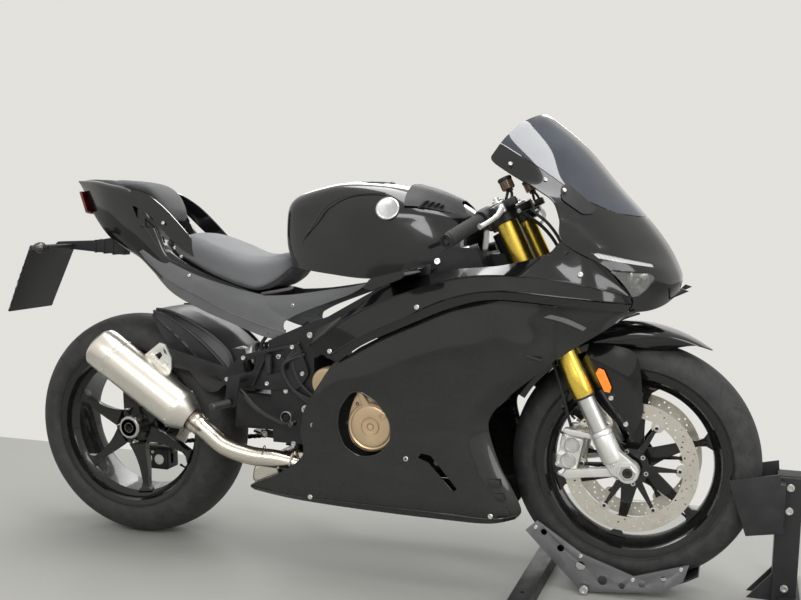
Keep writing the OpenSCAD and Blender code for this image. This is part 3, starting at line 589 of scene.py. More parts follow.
pipe_steel = brushed("pipe_steel", (0.70, 0.66, 0.58), 0.16, (3, 20, 20), tint=(0.55, 0.47, 0.36))
fork_gold = brushed("gold_tube", (0.95, 0.68, 0.12), 0.2, (50, 50, 0.6), (0, RAKE, 0), tint=(0.93, 0.64, 0.10))
seat_grey = seat_cover("grey_seat_cover", (0.165, 0.169, 0.176))
seat_black = seat_cover("black_seat_cover", (0.035, 0.036, 0.038))
rear_rubber = tyre_rubber("rear_tyre_rubber", rear_axle, 0.320, 0.095, 0.0)
front_rubber = tyre_rubber("front_tyre_rubber", front_axle, 0.300, 0.060, 0.31)
front_disc_steel = disc_steel("front_disc_steel", front_axle)
rear_disc_steel = disc_steel("rear_disc_steel", rear_axle)
screen_tint = smoked_screen("smoked_screen")
clear_lens = lens("clear_lens", (0.26, 0.26, 0.25), 0.34)
day_lamp = lens("day_lamp", (0.5, 0.5, 0.49), 0.95)
lamp_bowl = brushed("lamp_bowl", (0.86, 0.86, 0.84), 0.08)
red_lens = lens("red_lens", (0.10, 0.004, 0.004), 1.0)
# the fender reflector's amber finish glows faintly: painted light, as a reflector gives none of its own
amber_reflector_painted_glow = lens("amber_reflector_painted_glow", (0.95, 0.24, 0.01), 1.0, 0.25)
smoke_lens = lens("smoke_lens", (0.03, 0.028, 0.026), 0.92)
fluid_pot = lens("fluid_pot", (0.10, 0.055, 0.028), 0.94)
film = crumpled_film("plate_film_painted_glints")
oily_chain = chain_links("oily_chain")
hose_black = moulded("braided_hose", (0.02, 0.02, 0.021), 0.42, 1100, 0.25)
blank_disc = painted_metal("blank_emblem", (0.5, 0.5, 0.5), 0.3, 0.8)
display_glass = body_paint("display_glass", (0.006, 0.007, 0.009), 0.06, 1.0, 0.03)


# ---------------------------------------------------------------- stage
def plain(name, colour, rough):
    """The floor's paint: one colour with faint wide clouds."""
    f = Finish(name, colour, rough, 0.0, Specular_IOR_Level=0.25)
    f.set("Base Color", f.mix(f.noise(1.6, 4, 0.6), tuple(c * 0.96 for c in colour),
                              tuple(min(1, c * 1.04) for c in colour)))
    return f.material


def sheet_of(name, corners, finish):
    """A flat stage piece that belongs to the set, not to the bike."""
    bm = bmesh.new()
    bm.faces.new([bm.verts.new(c) for c in corners])
    mesh = mesh_of(name, bm)
    mesh.materials.append(finish)
    placed(name, mesh)


sheet_of("floor", [(-9, -7, 0), (9, -7, 0), (9, 9, 0), (-9, 9, 0)], plain("pale_floor", (0.42, 0.42, 0.395), 0.5))


def seen_wall(name, colour):
    """A pale wall that only the camera sees, and only from its front, so it takes no light from the bike."""
    made = bpy.data.materials.new(name)
    made.use_nodes = True
    tree = made.node_tree
    tree.nodes.clear()
    glow, clear = tree.nodes.new("ShaderNodeEmission"), tree.nodes.new("ShaderNodeBsdfTransparent")
    glow.inputs["Color"].default_value = (*colour, 1)
    shown, front = tree.nodes.new("ShaderNodeMixShader"), tree.nodes.new("ShaderNodeMixShader")
    rays, facing = tree.nodes.new("ShaderNodeLightPath"), tree.nodes.new("ShaderNodeNewGeometry")
    done = tree.nodes.new("ShaderNodeOutputMaterial")
    for start, end in ((facing.outputs["Backfacing"], front.inputs[0]), (glow.outputs[0], front.inputs[1]),
                       (clear.outputs[0], front.inputs[2]), (rays.outputs["Is Camera Ray"], shown.inputs[0]),
                       (clear.outputs[0], shown.inputs[1]), (front.outputs[0], shown.inputs[2]),
                       (shown.outputs[0], done.inputs[0])):
        tree.links.new(start, end)
    return made


sheet_of("wall", [(-9, 0.78, 0), (9, 0.78, 0), (9, 0.78, 7), (-9, 0.78, 7)],
         seen_wall("pale_wall", (0.765, 0.755, 0.72)))

world = bpy.data.worlds.new("pale_studio")
scene.world = world
world.use_nodes = True
sky = world.node_tree
sky.nodes.clear()
# seen is what the camera, mirrors and glass show; fill lights everything else
seen = sky.nodes.new("ShaderNodeBackground")
seen.inputs["Color"].default_value = (0.76, 0.75, 0.715, 1)
seen.inputs["Strength"].default_value = 1.0
fill = sky.nodes.new("ShaderNodeBackground")
fill.inputs["Color"].default_value = (0.80, 0.80, 0.80, 1)
fill.inputs["Strength"].default_value = 0.62
path = sky.nodes.new("ShaderNodeLightPath")
choose = sky.nodes.new("ShaderNodeMixShader")
out = sky.nodes.new("ShaderNodeOutputWorld")
sums = [sky.nodes.new("ShaderNodeMath") for _ in range(2)]
for add, first, second in ((sums[0], path.outputs["Is Camera Ray"], path.outputs["Is Glossy Ray"]),
                           (sums[1], sums[0].outputs[0], path.outputs["Is Transmission Ray"])):
    add.operation, add.use_clamp = "ADD", True
    sky.links.new(first, add.inputs[0])
    sky.links.new(second, add.inputs[1])
sky.links.new(sums[1].outputs[0], choose.inputs[0])
sky.links.new(fill.outputs[0], choose.inputs[1])
sky.links.new(seen.outputs[0], choose.inputs[2])
sky.links.new(choose.outputs[0], out.inputs[0])


def softbox(name, place, aim, size, power, colour=(1, 1, 1)):
    """A rectangular lamp at a place, aimed at another, sized in metres."""
    lamp = bpy.data.lights.new(name, "AREA")
    lamp.shape, lamp.size, lamp.size_y, lamp.energy, lamp.color = "RECTANGLE", size[0], size[1], power, colour
    holder = placed(name, lamp)
    holder.location = place
    holder.rotation_mode = "QUATERNION"
    holder.rotation_quaternion = (Vector(aim) - Vector(place)).to_track_quat("-Z", "Y")


softbox("overhead", (0.2, 0.2, 3.4), (0, 0, 0.6), (3.6, 1.2), 75)
softbox("near_side", (0.6, -3.6, 2.6), (0, 0, 0.6), (3.0, 1.0), 60)
softbox("front_side", (3.4, -1.6, 1.9), (0.3, 0, 0.7), (1.0, 2.2), 30)
softbox("far_side", (-0.8, 3.4, 2.4), (0, 0, 0.6), (3.0, 1.0), 35)

# the camera: focal length and rise in units of its own frame, its place in mm, its turn in degrees
frame_width, focal, rise = 801, 991.337, 60.1
cam_x, cam_y, cam_z, yaw, pitch, roll = 1638.861, -2436.714, 954.264, 19.202, 8.968, 0.251
camera = bpy.data.cameras.new("main_view")
camera.lens = focal / frame_width * camera.sensor_width
camera.shift_y = rise / frame_width
camera.clip_start = 0.05
holder = placed("main_view", camera)
y, p, r = (math.radians(v) for v in (yaw, pitch, roll))
ahead = Vector((-math.sin(y) * math.cos(p), math.cos(y) * math.cos(p), -math.sin(p)))
right = Vector((math.cos(y), math.sin(y), 0))
up = right.cross(ahead)
right, up = right * math.cos(r) + up * math.sin(r), up * math.cos(r) - right * math.sin(r)
holder.matrix_world = Matrix.Translation(at(cam_x, cam_y, cam_z)) @ Matrix((right, up, -ahead)).transposed().to_4x4()
scene.camera = holder
scene.view_settings.view_transform = "Standard"


# ---------------------------------------------------------------- wheels
WALL_FOOT = 248  # the radius where a tyre's round section meets its bead, in mm
RIM_BORE = 194   # the radius at which spokes run into the rim's barrel


def tyre_profile(radius, half, rim_half):
    """Crown, shoulder, wall and bead of one tyre, right to left."""
    side = []
    for k in range(13):
        a = math.radians(7.5 * k)
        rise = (radius - WALL_FOOT) * math.cos(a) ** 0.92 if k < 12 else 0
        side.append((WALL_FOOT + rise, half * math.sin(a) ** 0.97))
    side += [(240, half * 0.985), (233, rim_half + 1), (231, rim_half - 3), (222, rim_half - 7), (219, rim_half - 18)]
    return side[::-1] + [(r, -a) for r, a in side[1:]]


def rim_profile(h):
    """The rim's barrel with rolled flanges and a drop well; h is half its width."""
    outer = [(233, h), (234, h - 2), (232, h - 5), (224, h - 6), (219, h - 9), (218, h - 22), (210, h - 30),
             (199, h - 38), (198, 0)]
    inner = [(228, h + 0.4), (221, h - 2), (214, h - 4), (211, h - 18), (206, h - 26), (193, h - 36), (190, 0)]
    ring = outer + [(r, -a) for r, a in outer[-2::-1]] + [(r, -a) for r, a in inner] + inner[-2::-1]
    return ring + [ring[0]]


def spoke(hub_r, rim_r, base, tip, y, depth_hub, depth_rim, lean):
    """One slim cast spoke, wide at the hub, waisted, and flared where it meets the barrel."""
    bm = bmesh.new()
    bmesh.ops.create_cube(bm, size=1)
    bmesh.ops.subdivide_edges(bm, edges=[e for e in bm.edges if abs((e.verts[0].co - e.verts[1].co).x) > 0.5], cuts=9)
    for v in bm.verts:
        t = v.co.x + 0.5
        narrow = tip * (0.72 + 0.28 * abs(2 * t - 1) ** 3)
        flare = (12 if t > 0.99 else 0) + max(0, t - 0.82) * 60
        waist = base * (1 - t) ** 1.6 + narrow + flare
        deep = depth_hub * (1 - t) + depth_rim * t + max(0, t - 0.86) * 70
        v.co = Vector(((hub_r + (rim_r - hub_r) * t) * MM, (y + v.co.y * deep) * MM,
                       (v.co.z * waist * (1 - 0.5 * v.co.y) + lean * t * (1 - t) * 4) * MM))
    return soften(bm, 2.6, 3, 40)


def wheel(centre, half, hub_r, hub_half, spokes, lean, y, turn, name, body, nodes):
    """Rim, spokes, hub and valve of one wheel; turn is the first spoke's angle in degrees."""
    rim = turned(rim_profile(half), centre, 120)
    arms = spoke(hub_r - 6, RIM_BORE, 26, 17, y, 40, 26, lean)
    bmesh.ops.translate(arms, vec=centre, verts=arms.verts)
    arms = around(arms, spokes, centre, first=-math.radians(turn))
    hub = turned([(13, -hub_half), (hub_r - 8, -hub_half), (hub_r - 4, -hub_half + 4), (hub_r - 6, -14),
                  (hub_r + 2, 0), (hub_r - 6, 14), (hub_r - 4, hub_half - 4), (hub_r - 8, hub_half), (13, hub_half)],
                 centre, 64)
    valve = turned([(0, 0), (4, 0), (4, 6), (2.8, 7), (2.8, 24), (3.6, 25), (3.6, 32), (0, 33)],
                   centre + Vector((0.1435, 0.012, -0.1435)).normalized() * 0.192, 16, (-1, -0.9, 1))
    return piece(name, gather(rim, arms, hub, (valve, 1)), body, rim_black, dark_bolt, instead=nodes)


wheel(front_axle, 48, 36, 60, 6, 6, 0, 20, "front_wheel_rim", "front_wheel", ["front_rim"])
wheel(rear_axle, 84, 58, 28, 6, 8, -38, 37, "rear_wheel_rim", "rear_wheel", ["rear_rim"])
piece("front_wheel_tyre", turned(tyre_profile(300, 60, 47), front_axle, 144), "front_wheel", front_rubber,
      instead=["front_tyre"], keen=50)
piece("rear_wheel_tyre", turned(tyre_profile(320, 95, 83), rear_axle, 144), "rear_wheel", rear_rubber,
      instead=["rear_tyre"], keen=50)


def drilled_band(r0, r1, y0, y1, holes, count, centre):
    """A disc's band: one drilled sector turned round the axle."""
    step = math.tau / count
    sector = bmesh.new()
    angles = [step * k / 6 for k in range(7)]
    ring = [Vector((r * MM * math.cos(a), y0 * MM, r * MM * math.sin(a)))
            for r, arc in ((r0, angles), (r1, angles[::-1])) for a in arc]
    extruded(sector, [p + centre for p in ring], y1 - y0)
    drills = []
    for radius, part, size in holes:
        a = step * part
        spot = centre + Vector((radius * math.cos(a), 0, radius * math.sin(a))) * MM
        drills.append(pin(size, y0 - 3, y1 + 3, spot, 12))
    return around(carved(sector, gather(*drills)), count, centre)


def brake_disc(centre, r0, r1, y, holes, count, arms, hub, name, body, steel, nodes, face):
    """Drilled band, sprung buttons and the open star that carries it."""
    band = drilled_band(r0, r1, y - 2.5, y + 2.5, holes, count, centre)
    outer = y + 2.5 * face
    tab = pin(15, y - 2.4, y + 2.4, centre + Vector(((r0 - 4) * MM, 0, 0)), 24)
    button = turned([(4, outer - 1), (9, outer - 1), (9, outer + 1.2 * face), (4, outer + 2 * face), (4, outer - 1)],
                    centre + Vector(((r0 - 8) * MM, 0, 0)), 20)
    strut = plate([(hub - 8, -9), (r0 - 20, -4), (r0 - 4, -8), (r0 - 4, 8), (r0 - 20, 4), (hub - 8, 9)], y - 4,
                  y + 2.4)
    bmesh.ops.translate(strut, vec=centre - at(0, 0, 0), verts=strut.verts)
    soften(strut, 1, 2)
    rivet = turned([(0, outer), (6, outer), (6, outer + 4 * face), (3, outer + 4 * face), (3, outer + 1 * face),
                   (0, outer + 1 * face)], centre + Vector(((hub - 6) * MM, 0, 0)), 6)
    ringed = turned(ring_of(hub - 16, hub, y - 5, y + 2.4), centre, 48)
    return piece(name, gather((band, 0), (around(tab, arms, centre), 0), (around(strut, arms, centre), 1),
                              (ringed, 1), (around(button, arms, centre), 2),
                              (around(rivet, arms, centre, first=0.3), 2)), body, steel, rim_black, bright_bolt,
                 instead=nodes)


holes = [(131, 0.12, 2.6), (139, 0.3, 2.6), (147, 0.48, 2.6), (153, 0.72, 2.6), (130, 0.62, 2.6), (141, 0.86, 2.6)]
brake_disc(front_axle, 124, 160, -66, holes, 15, 6, 46, "front_disc_right", "front_wheel", front_disc_steel,
           ["front_discs"], -1)
brake_disc(front_axle, 124, 160, 66, holes, 15, 6, 46, "front_disc_left", "front_wheel", front_disc_steel,
           ["front_discs"], 1)
holes = [(89, 0.15, 2.6), (97, 0.38, 2.6), (105, 0.62, 2.6), (93, 0.82, 2.6)]
brake_disc(rear_axle, 83, 115, 60, holes, 12, 6, 52, "rear_wheel_disc", "rear_wheel", rear_disc_steel, ["rear_disc"],
           1)


# ---------------------------------------------------------------- bodywork
def panel(rows, across, along, depth):
    """A thin moulded panel through rows of control points, right side up."""
    bm = skin(rows, across, along)
    bmesh.ops.remove_doubles(bm, verts=bm.verts, dist=1e-5)
    return thick(bm, depth)


# upper side fairing: hem, lower crease, shoulder crease, top edge
fairing_rows = [[(688, 186, 562), (760, 194, 612), (886, 205, 670), (991, 214, 714), (1094, 222, 737),
                 (1245, 224, 729), (1330, 204, 721), (1388, 160, 713)],
                [(660, 186, 574), (748, 199, 630), (878, 212, 690), (990, 222, 738), (1100, 230, 758),
                 (1245, 234, 750), (1335, 211, 741), (1398, 160, 732)],
                [(612, 180, 600), (708, 192, 668), (838, 203, 732), (985, 214, 778), (1100, 223, 792),
                 (1240, 231, 786), (1325, 213, 772), (1394, 166, 750)],
                [(629, 170, 643), (718, 162, 692), (806, 156, 752), (960, 172, 797), (1102, 189, 814),
                 (1208, 205, 842), (1254, 213, 872), (1345, 198, 814)]]


def creased(rows):
    """Doubles the inner rows, so the sheet folds sharply along them."""
    out = [rows[0]]
    for row in rows[1:-1]:
        out += [row, row]
    return out + [rows[-1]]


louvre = rounded([(808, 762), (828, 786), (912, 806), (906, 788), (830, 758)], 8)
fairing = panel(creased(fairing_rows), 40, 110, 3.4)
fairing = carved(fairing, plate(louvre, 100, 320))
slats = [slab([(818 + 22 * i, 756 + 8 * i), (824 + 22 * i, 758 + 8 * i), (842 + 22 * i, 792 + 5 * i),
               (836 + 22 * i, 790 + 5 * i)], 152, 163, 0.8) for i in range(4)]
inner = plate(rounded([(800, 752), (826, 792), (920, 812), (916, 782), (830, 748)], 8), 144, 150)
fairing_side = gather((fairing, 0), (gather(*slats), 1), (inner, 1))


def screw(place, out, radius=6.5, head=2.6):
    """A round-head hex socket screw that faces `out`."""
    spot = at(*place)
    return turned([(0, -4), (radius * 0.7, -4), (radius * 0.7, 0), (radius, 0), (radius, head * 0.5),
                   (radius * 0.82, head), (radius * 0.5, head * 1.05), (radius * 0.42, head * 0.3), (0, head * 0.2)],
                  spot, 24, out)


screws = [screw(p, (-0.05, 1, 0.12)) for p in ((905, 214.5, 712), (1290, 222, 800), (668, 187, 590))]
fairing_side = gather(fairing_side, (gather(*screws), 2))
near = mirrored(fairing_side)
piece("side_fairing_near", near, "chassis", gloss_black, trim_black, bright_bolt, instead=["side_fairing_right"],
      keen=40)
piece("side_fairing_far", fairing_side, "chassis", gloss_black, trim_black, bright_bolt,
      instead=["side_fairing_left"], keen=40)

# belly fairing
belly_rows = [
    [(419, 122, 190), (560, 158, 188), (760, 178, 187), (960, 182, 186), (1078, 172, 185), (1138, 148, 195)],
    [(414, 132, 208), (560, 171, 213), (760, 189, 222), (960, 191, 222), (1092, 184, 216), (1156, 156, 222)],
    [(512, 165, 256), (600, 178, 262), (760, 192, 268), (950, 193, 270), (1075, 187, 272), (1134, 158, 272)],
    [(584, 174, 312), (650, 185, 318), (770, 192, 325), (930, 193, 330), (1044, 188, 332), (1102, 158, 328)],
    [(579, 174, 378), (650, 185, 384), (770, 192, 392), (920, 193, 400), (1016, 190, 405), (1073, 158, 410)],
    [(592, 174, 436), (655, 184, 440), (770, 192, 446), (920, 193, 450), (1020, 192, 452), (1078, 160, 452)],
    [(640, 177, 512), (690, 185, 512), (790, 191, 512), (930, 194, 508), (1056, 194, 505), (1122, 164, 503)],
    [(672, 178, 556), (720, 184, 556), (810, 190, 558), (950, 195, 558), (1106, 197, 556), (1188, 172, 560)],
    [(700, 178, 572), (770, 184, 590), (860, 189, 612), (990, 196, 628), (1146, 202, 618), (1240, 184, 610)],
    [(724, 174, 588), (800, 179, 628), (886, 184, 664), (991, 191, 700), (1110, 200, 700), (1247, 194, 672)],
    [(740, 170, 600), (810, 174, 636), (890, 178, 668), (991, 186, 712), (1100, 196, 732), (1250, 198, 722)]]
belly = panel(belly_rows, 70, 80, 3.4)
opening = rounded([(688, 400), (694, 450), (728, 494), (758, 492), (806, 462), (834, 420), (832, 372), (800, 336),
                   (752, 326), (706, 350)], 20, 5)
slot = rounded([(903, 340), (930, 330), (994, 262), (1004, 270), (936, 348), (912, 352)], 4)
belly = carved(belly, gather(plate(opening, 100, 320), plate(slot, 100, 320)))
bead = hose([(p[0], 190.5, p[1]) for p in opening[::3]] + [(opening[0][0], 190.5, opening[0][1])], 2.2, 4, 8)
vents = []
for i in range(3):
    vents.append(slab([(1078 + 10 * i, 300 - 34 * i), (1106 + 10 * i, 300 - 34 * i), (1112 + 10 * i, 282 - 34 * i),
                               (1084 + 10 * i, 282 - 34 * i)], 152, 187 - 4 * i, 1.5))
screws = [screw(p, (0, 1, 0)) for p in ((606, 176, 205), (872, 192.5, 334), (1086, 184, 208), (616, 177.5, 396))]
lip = hose([(415, 131, 200), (560, 166, 200), (760, 184, 203), (960, 187, 203), (1086, 180, 200), (1148, 154, 208)],
           2.6, 6, 8)
belly_side = gather((belly, 0), (bead, 0), (gather(*vents), 1), (lip, 0), (gather(*screws), 2))
near = mirrored(belly_side)
piece("belly_fairing_near", near, "chassis", satin_black, trim_black, bright_bolt, instead=["belly_fairing_right"],
      keen=40)
piece("belly_fairing_far", belly_side, "chassis", satin_black, trim_black, bright_bolt,
      instead=["belly_fairing_left"], keen=40)
pan = skin([[(430, -120, 192), (700, -160, 188), (960, -168, 187), (1110, -150, 190)],
            [(430, 0, 190), (700, 0, 186), (960, 0, 185), (1110, 0, 188)],
            [(430, 120, 192), (700, 160, 188), (960, 168, 187), (1110, 150, 190)]], 10, 30)
piece("belly_pan", thick(pan, 3), "chassis", satin_black)

# nose and screen, cut from one shell
shell_rows = [
    [(1392, 152, 712), (1432, 122, 715), (1462, 82, 725), (1483, 38, 741), (1489, 0, 747)],
    [(1398, 158, 748), (1438, 128, 755), (1472, 86, 765), (1492, 40, 776), (1497, 0, 782)],
    [(1348, 200, 812), (1404, 163, 812), (1452, 109, 809), (1481, 50, 808), (1489, 0, 810)],
    [(1250, 222, 870), (1346, 180, 858), (1414, 118, 850), (1456, 54, 850), (1467, 0, 852)],
    [(1238, 213, 922), (1322, 168, 907), (1382, 112, 898), (1424, 53, 895), (1436, 0, 895)],
    [(1220, 202, 962), (1286, 160, 960), (1340, 110, 952), (1384, 53, 944), (1397, 0, 940)],
    [(1180, 188, 988), (1236, 158, 1004), (1286, 110, 1008), (1330, 53, 1002), (1345, 0, 996)],
    [(1120, 170, 1020), (1170, 148, 1050), (1216, 104, 1076), (1250, 50, 1088), (1262, 0, 1090)],
    [(1070, 152, 1050), (1106, 132, 1092), (1142, 92, 1128), (1172, 46, 1148), (1184, 0, 1154)],
    [(1062, 146, 1064), (1088, 124, 1106), (1118, 88, 1142), (1146, 44, 1162), (1160, 0, 1168)]]


def whole(bm):
    """Adds the mirror half of a sheet and joins the two at the middle."""
    bmesh.ops.mirror(bm, geom=bm.verts[:] + bm.edges[:] + bm.faces[:], matrix=Matrix.Identity(4), merge_dist=0.0008,
                     axis="Y")
    bmesh.ops.remove_doubles(bm, verts=bm.verts, dist=0.0004)
    bmesh.ops.recalc_face_normals(bm, faces=bm.faces)
    return bm


def nose_wall(lift, depth):
    """The nose's shell, lifted off its own surface and given a wall."""
    bm = outward(whole(skin(shell_rows, 90, 44)), at(1200, 0, 850))
    bm.normal_update()
    for v, n in [(v, v.normal.copy()) for v in bm.verts]:
        v.co += n * lift * MM
    return thick(bm, depth, at(1200, 0, 850))


shell = nose_wall(0, 3.2)
glass_line = [(1040, 1112), (1090, 1090), (1180, 1036), (1290, 962), (1352, 934), (1404, 926), (1460, 915)]
below = plate([(x, z - 0.8) for x, z in glass_line] + [(1560, 915), (1560, 650), (1000, 650), (1000, 1100)], -400,
              400)
above = plate([(x, z + 0.8) for x, z in glass_line] + [(1560, 915), (1560, 1300), (1000, 1300), (1000, 1113)], -400,
              400)
lamp_hole = rounded([(1352, 808), (1436, 800), (1446, 792), (1428, 764), (1412, 750), (1396, 748)], 5)
slit = rounded([(1314, 845), (1322, 848), (1436, 822), (1440, 814), (1326, 836)], 3)
lamp_cut = both(plate(lamp_hole, 48, 400))
slit_cut = both(plate(slit, 60, 400))
screen = carved(shell.copy(), above, "INTERSECT")
nose = carved(carved(carved(shell, below, "INTERSECT"), lamp_cut), slit_cut)
soften(nose, 0.9, 2, 60)
lamp_back = pair(plate(rounded([(1330, 822), (1440, 808), (1452, 792), (1424, 742), (1380, 742)], 6), 60, 64))
fin = both(slab([(1420, 712), (1516, 758), (1500, 764), (1478, 742), (1440, 728)], 66, 70, 1))
lip_shelf = skin([[(1380, -150, 722), (1440, -110, 726), (1478, -55, 742), (1492, 0, 750)],
                  [(1360, -120, 735), (1400, -90, 738), (1430, -45, 748), (1440, 0, 752)]], 4, 20)
whole(lip_shelf)
mirror_plate = rounded([(1232, 996), (1246, 1000), (1312, 946), (1306, 934), (1286, 932), (1238, 966)], 8)


def on_nose(outline, y0, y1, lift):
    """A pad that follows the nose: its outline cut from the shell and lifted off it."""
    return soften(carved(nose_wall(lift, lift + 1.5), plate(outline, y0, y1), "INTERSECT"), 0.8, 2, 50)


pads = both(on_nose(mirror_plate, 60, 400, 3))
spots = ((1242, 182, 986), (1298, 152, 944), (1112, 163, 1046), (1196, 170, 1010))
screws = pair(*[screw(p, (0.5, 0.8, 0.35), 5, 2.2) for p in spots])
piece("nose_cowl", gather((nose, 0), (lamp_back, 1), (pads, 1), (fin, 0), (thick(lip_shelf, 3), 1), (screws, 2)),
      "chassis", gloss_black, trim_black, bright_bolt, instead=["nose_fairing"], keen=40)
piece("smoked_windscreen", screen, "chassis", screen_tint, instead=["windscreen"], keen=40)

# headlights: a bright bowl, a projector and a clear cover on each side
bowl_at = at(1408, 118, 782)
face = Vector((0.72, 0.62, -0.05)).normalized()
bowl = turned([(3, -26), (12, -24), (20, -14), (24, 0), (26, 4), (27, 0), (22, -16), (3, -30), (3, -26)], bowl_at, 32,
              face)
projector = turned([(0, -12), (9, -12), (11, -4), (8, 2), (0, 4)], bowl_at, 24, face)
day_line = rounded([(1312, 848), (1322, 852), (1440, 824), (1444, 812), (1326, 832)], 3)
glass, day = [carved(nose_wall(-1.2, 2), both(plate(line, inner_y, 400)), "INTERSECT")
              for line, inner_y in ((lamp_hole, 48), (day_line, 60))]
piece("headlight_bowls", pair(bowl, projector), "chassis", lamp_bowl, keen=40)
piece("headlight_covers", gather((glass, 0), (day, 1)), "chassis", clear_lens, day_lamp, instead=["headlights"],
      keen=40)

# tank
tank_rows = [[(510, 0, 796), (514, 66, 796), (545, 108, 790), (640, 140, 780), (760, 150, 771), (880, 147, 786),
              (985, 98, 815), (1012, 44, 830), (1016, 0, 830)], [(492, 0, 850), (498, 62, 850), (528, 100, 848),
                                                                 (630, 134, 842), (760, 151, 838), (880, 148, 846),
                                                                 (982, 98, 868), (1014, 42, 880), (1018, 0, 880)],
             [(489, 0, 905), (495, 58, 905), (526, 92, 908), (625, 120, 912), (730, 148, 905), (862, 145, 905),
              (972, 92, 905), (1008, 40, 905), (1012, 0, 905)], [(492, 0, 940), (499, 54, 940), (530, 88, 946),
                                                                 (632, 116, 952), (740, 138, 948), (862, 134, 942),
                                                                 (958, 84, 930), (996, 36, 926), (1000, 0, 926)],
             [(500, 0, 958), (508, 46, 960), (545, 72, 974), (650, 94, 994), (765, 100, 992), (865, 92, 976),
              (935, 58, 956), (962, 28, 950), (966, 0, 950)], [(504, 0, 964), (520, 22, 972), (560, 36, 988),
                                                               (660, 44, 1008), (770, 46, 1003), (868, 42, 986),
                                                               (926, 28, 968), (946, 14, 961), (950, 0, 960)],
             [(508, 0, 968), (522, 0, 974), (562, 0, 990), (660, 0, 1010), (770, 0, 1005), (868, 0, 988),
              (926, 0, 970), (944, 0, 963), (948, 0, 961)]]
tank = whole(skin(tank_rows, 46, 80))
bmesh.ops.holes_fill(tank, edges=[e for e in tank.edges if len(e.link_faces) == 1], sides=0)
bmesh.ops.recalc_face_normals(tank, faces=tank.faces)
seam = hose([(560, 112, 850), (600, 122, 905), (640, 128, 950), (700, 122, 975), (790, 118, 980)], 1.4, 6, 6)
cover_rows = [
    [(846, 140, 950), (880, 128, 948), (930, 102, 938), (984, 62, 925)],
    [(842, 116, 974), (880, 106, 968), (925, 80, 958), (972, 44, 945)],
    [(840, 60, 1000), (880, 56, 990), (920, 44, 976), (960, 24, 960)],
    [(840, 0, 1004), (880, 0, 994), (920, 0, 980), (964, 0, 962)]]
cover = whole(skin(cover_rows, 12, 16))
vent = []
for i in range(4):
    vent.append(slab([(872 + 13 * i, 940), (878 + 13 * i, 940), (900 + 12 * i, 962 - 3 * i),
                      (894 + 12 * i, 962 - 3 * i)], 88, 128 - 9 * i, 0.8))
emblem_out = Vector((0.1, 0.9, 0.42)).normalized()
emblem = turned([(0, -4), (29, -4), (30, 0), (29, 3), (26, 4.2), (24, 3.2), (0, 4.4)], at(806, 146, 942), 48,
                emblem_out)
cap = turned([(0, -8), (52, -8), (52, 0), (50, 2.5), (44, 3), (42, 1.5), (24, 1.5), (22, 4), (0, 4.5)],
             at(720, 0, 1006), 48, (0.02, 0, 1))
cap_bolts = around(turned([(0, 0), (3, 0), (3, 3.5), (1.6, 3.6), (1.4, 2), (0, 2)], at(720 + 46, 0, 1007), 12,
                          (0, 0, 1)), 8, at(720, 0, 1007), (0, 0, 1))
piece("fuel_tank_body", gather((tank, 0), (both(seam), 0), (thick(cover, 2.4), 1), (pair(*vent), 1),
                               (both(emblem), 2), (cap, 1), (cap_bolts, 3)), "chassis", gloss_black, trim_black,
      blank_disc, bright_bolt, instead=["fuel_tank"], keen=40)


# ---------------------------------------------------------------- seat and tail
CLOTH_STEPS = 20


def padded(name, bm, body, finish, nodes, swell, cap):
    """A foam pad: remeshed, blown up a little as cloth, and held near its own shape."""
    made = placed(name, mesh_of(name, bm))
    grid = made.modifiers.new("grid", "REMESH")
    grid.mode, grid.voxel_size, grid.use_smooth_shade = "VOXEL", 0.006, True
    fine = evaluated(made)
    made.modifiers.clear()
    made.data = fine
    start = [v.co.copy() for v in fine.vertices]
    cloth = made.modifiers.new("cloth", "CLOTH")
    cloth.settings.use_pressure = True
    cloth.settings.uniform_pressure_force = swell
    cloth.settings.effector_weights.gravity = 0
    cloth.settings.quality = 4
    cloth.settings.tension_stiffness = cloth.settings.compression_stiffness = 12
    scene.frame_set(1)
    for step in range(1, CLOTH_STEPS + 1):
        scene.frame_set(step)
    moved = [v.co.copy() for v in evaluated(made).vertices]
    made.modifiers.clear()
    for v, a, b in zip(fine.vertices, start, moved):
        shift = b - a
        v.co = a + (shift.normalized() * min(shift.length, cap * MM) if shift.length > 0 else shift)
    scene.frame_set(1)
    shape = bmesh.new()
    shape.from_mesh(fine)
    for _ in range(3):
        bmesh.ops.smooth_vert(shape, verts=shape.verts, factor=0.5, use_axis_x=True, use_axis_y=True, use_axis_z=True)
    shape.to_mesh(fine)
    shape.free()
    fine.materials.append(finish)
    fine.polygons.foreach_set("use_smooth", [True] * len(fine.polygons))
    finer = made.modifiers.new("finer", "SUBSURF")
    finer.levels = finer.render_levels = 1
    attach(made, body)
    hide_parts(*nodes)
    return made


def pad_rows(stations):
    """Rails of a closed pad from stations (x, half width, bottom, top, crown)."""
    rows = [[] for _ in range(6)]
    for x, w, low, high, crown in stations:
        rows[0].append((x, 0, low))
        rows[1].append((x, w * 0.9, low + 1))
        rows[2].append((x, w, low * 0.62 + high * 0.38))
        rows[3].append((x, w * 0.93, high - 5))
        rows[4].append((x, w * 0.55, high + crown * 0.6))
        rows[5].append((x, 0, high + crown))
    return rows


def closed(bm):
    """Mirrors a half shell and caps its open ends."""
    bm = whole(bm)
    bmesh.ops.holes_fill(bm, edges=[e for e in bm.edges if len(e.link_faces) == 1], sides=0)
    bmesh.ops.recalc_face_normals(bm, faces=bm.faces)
    return bm


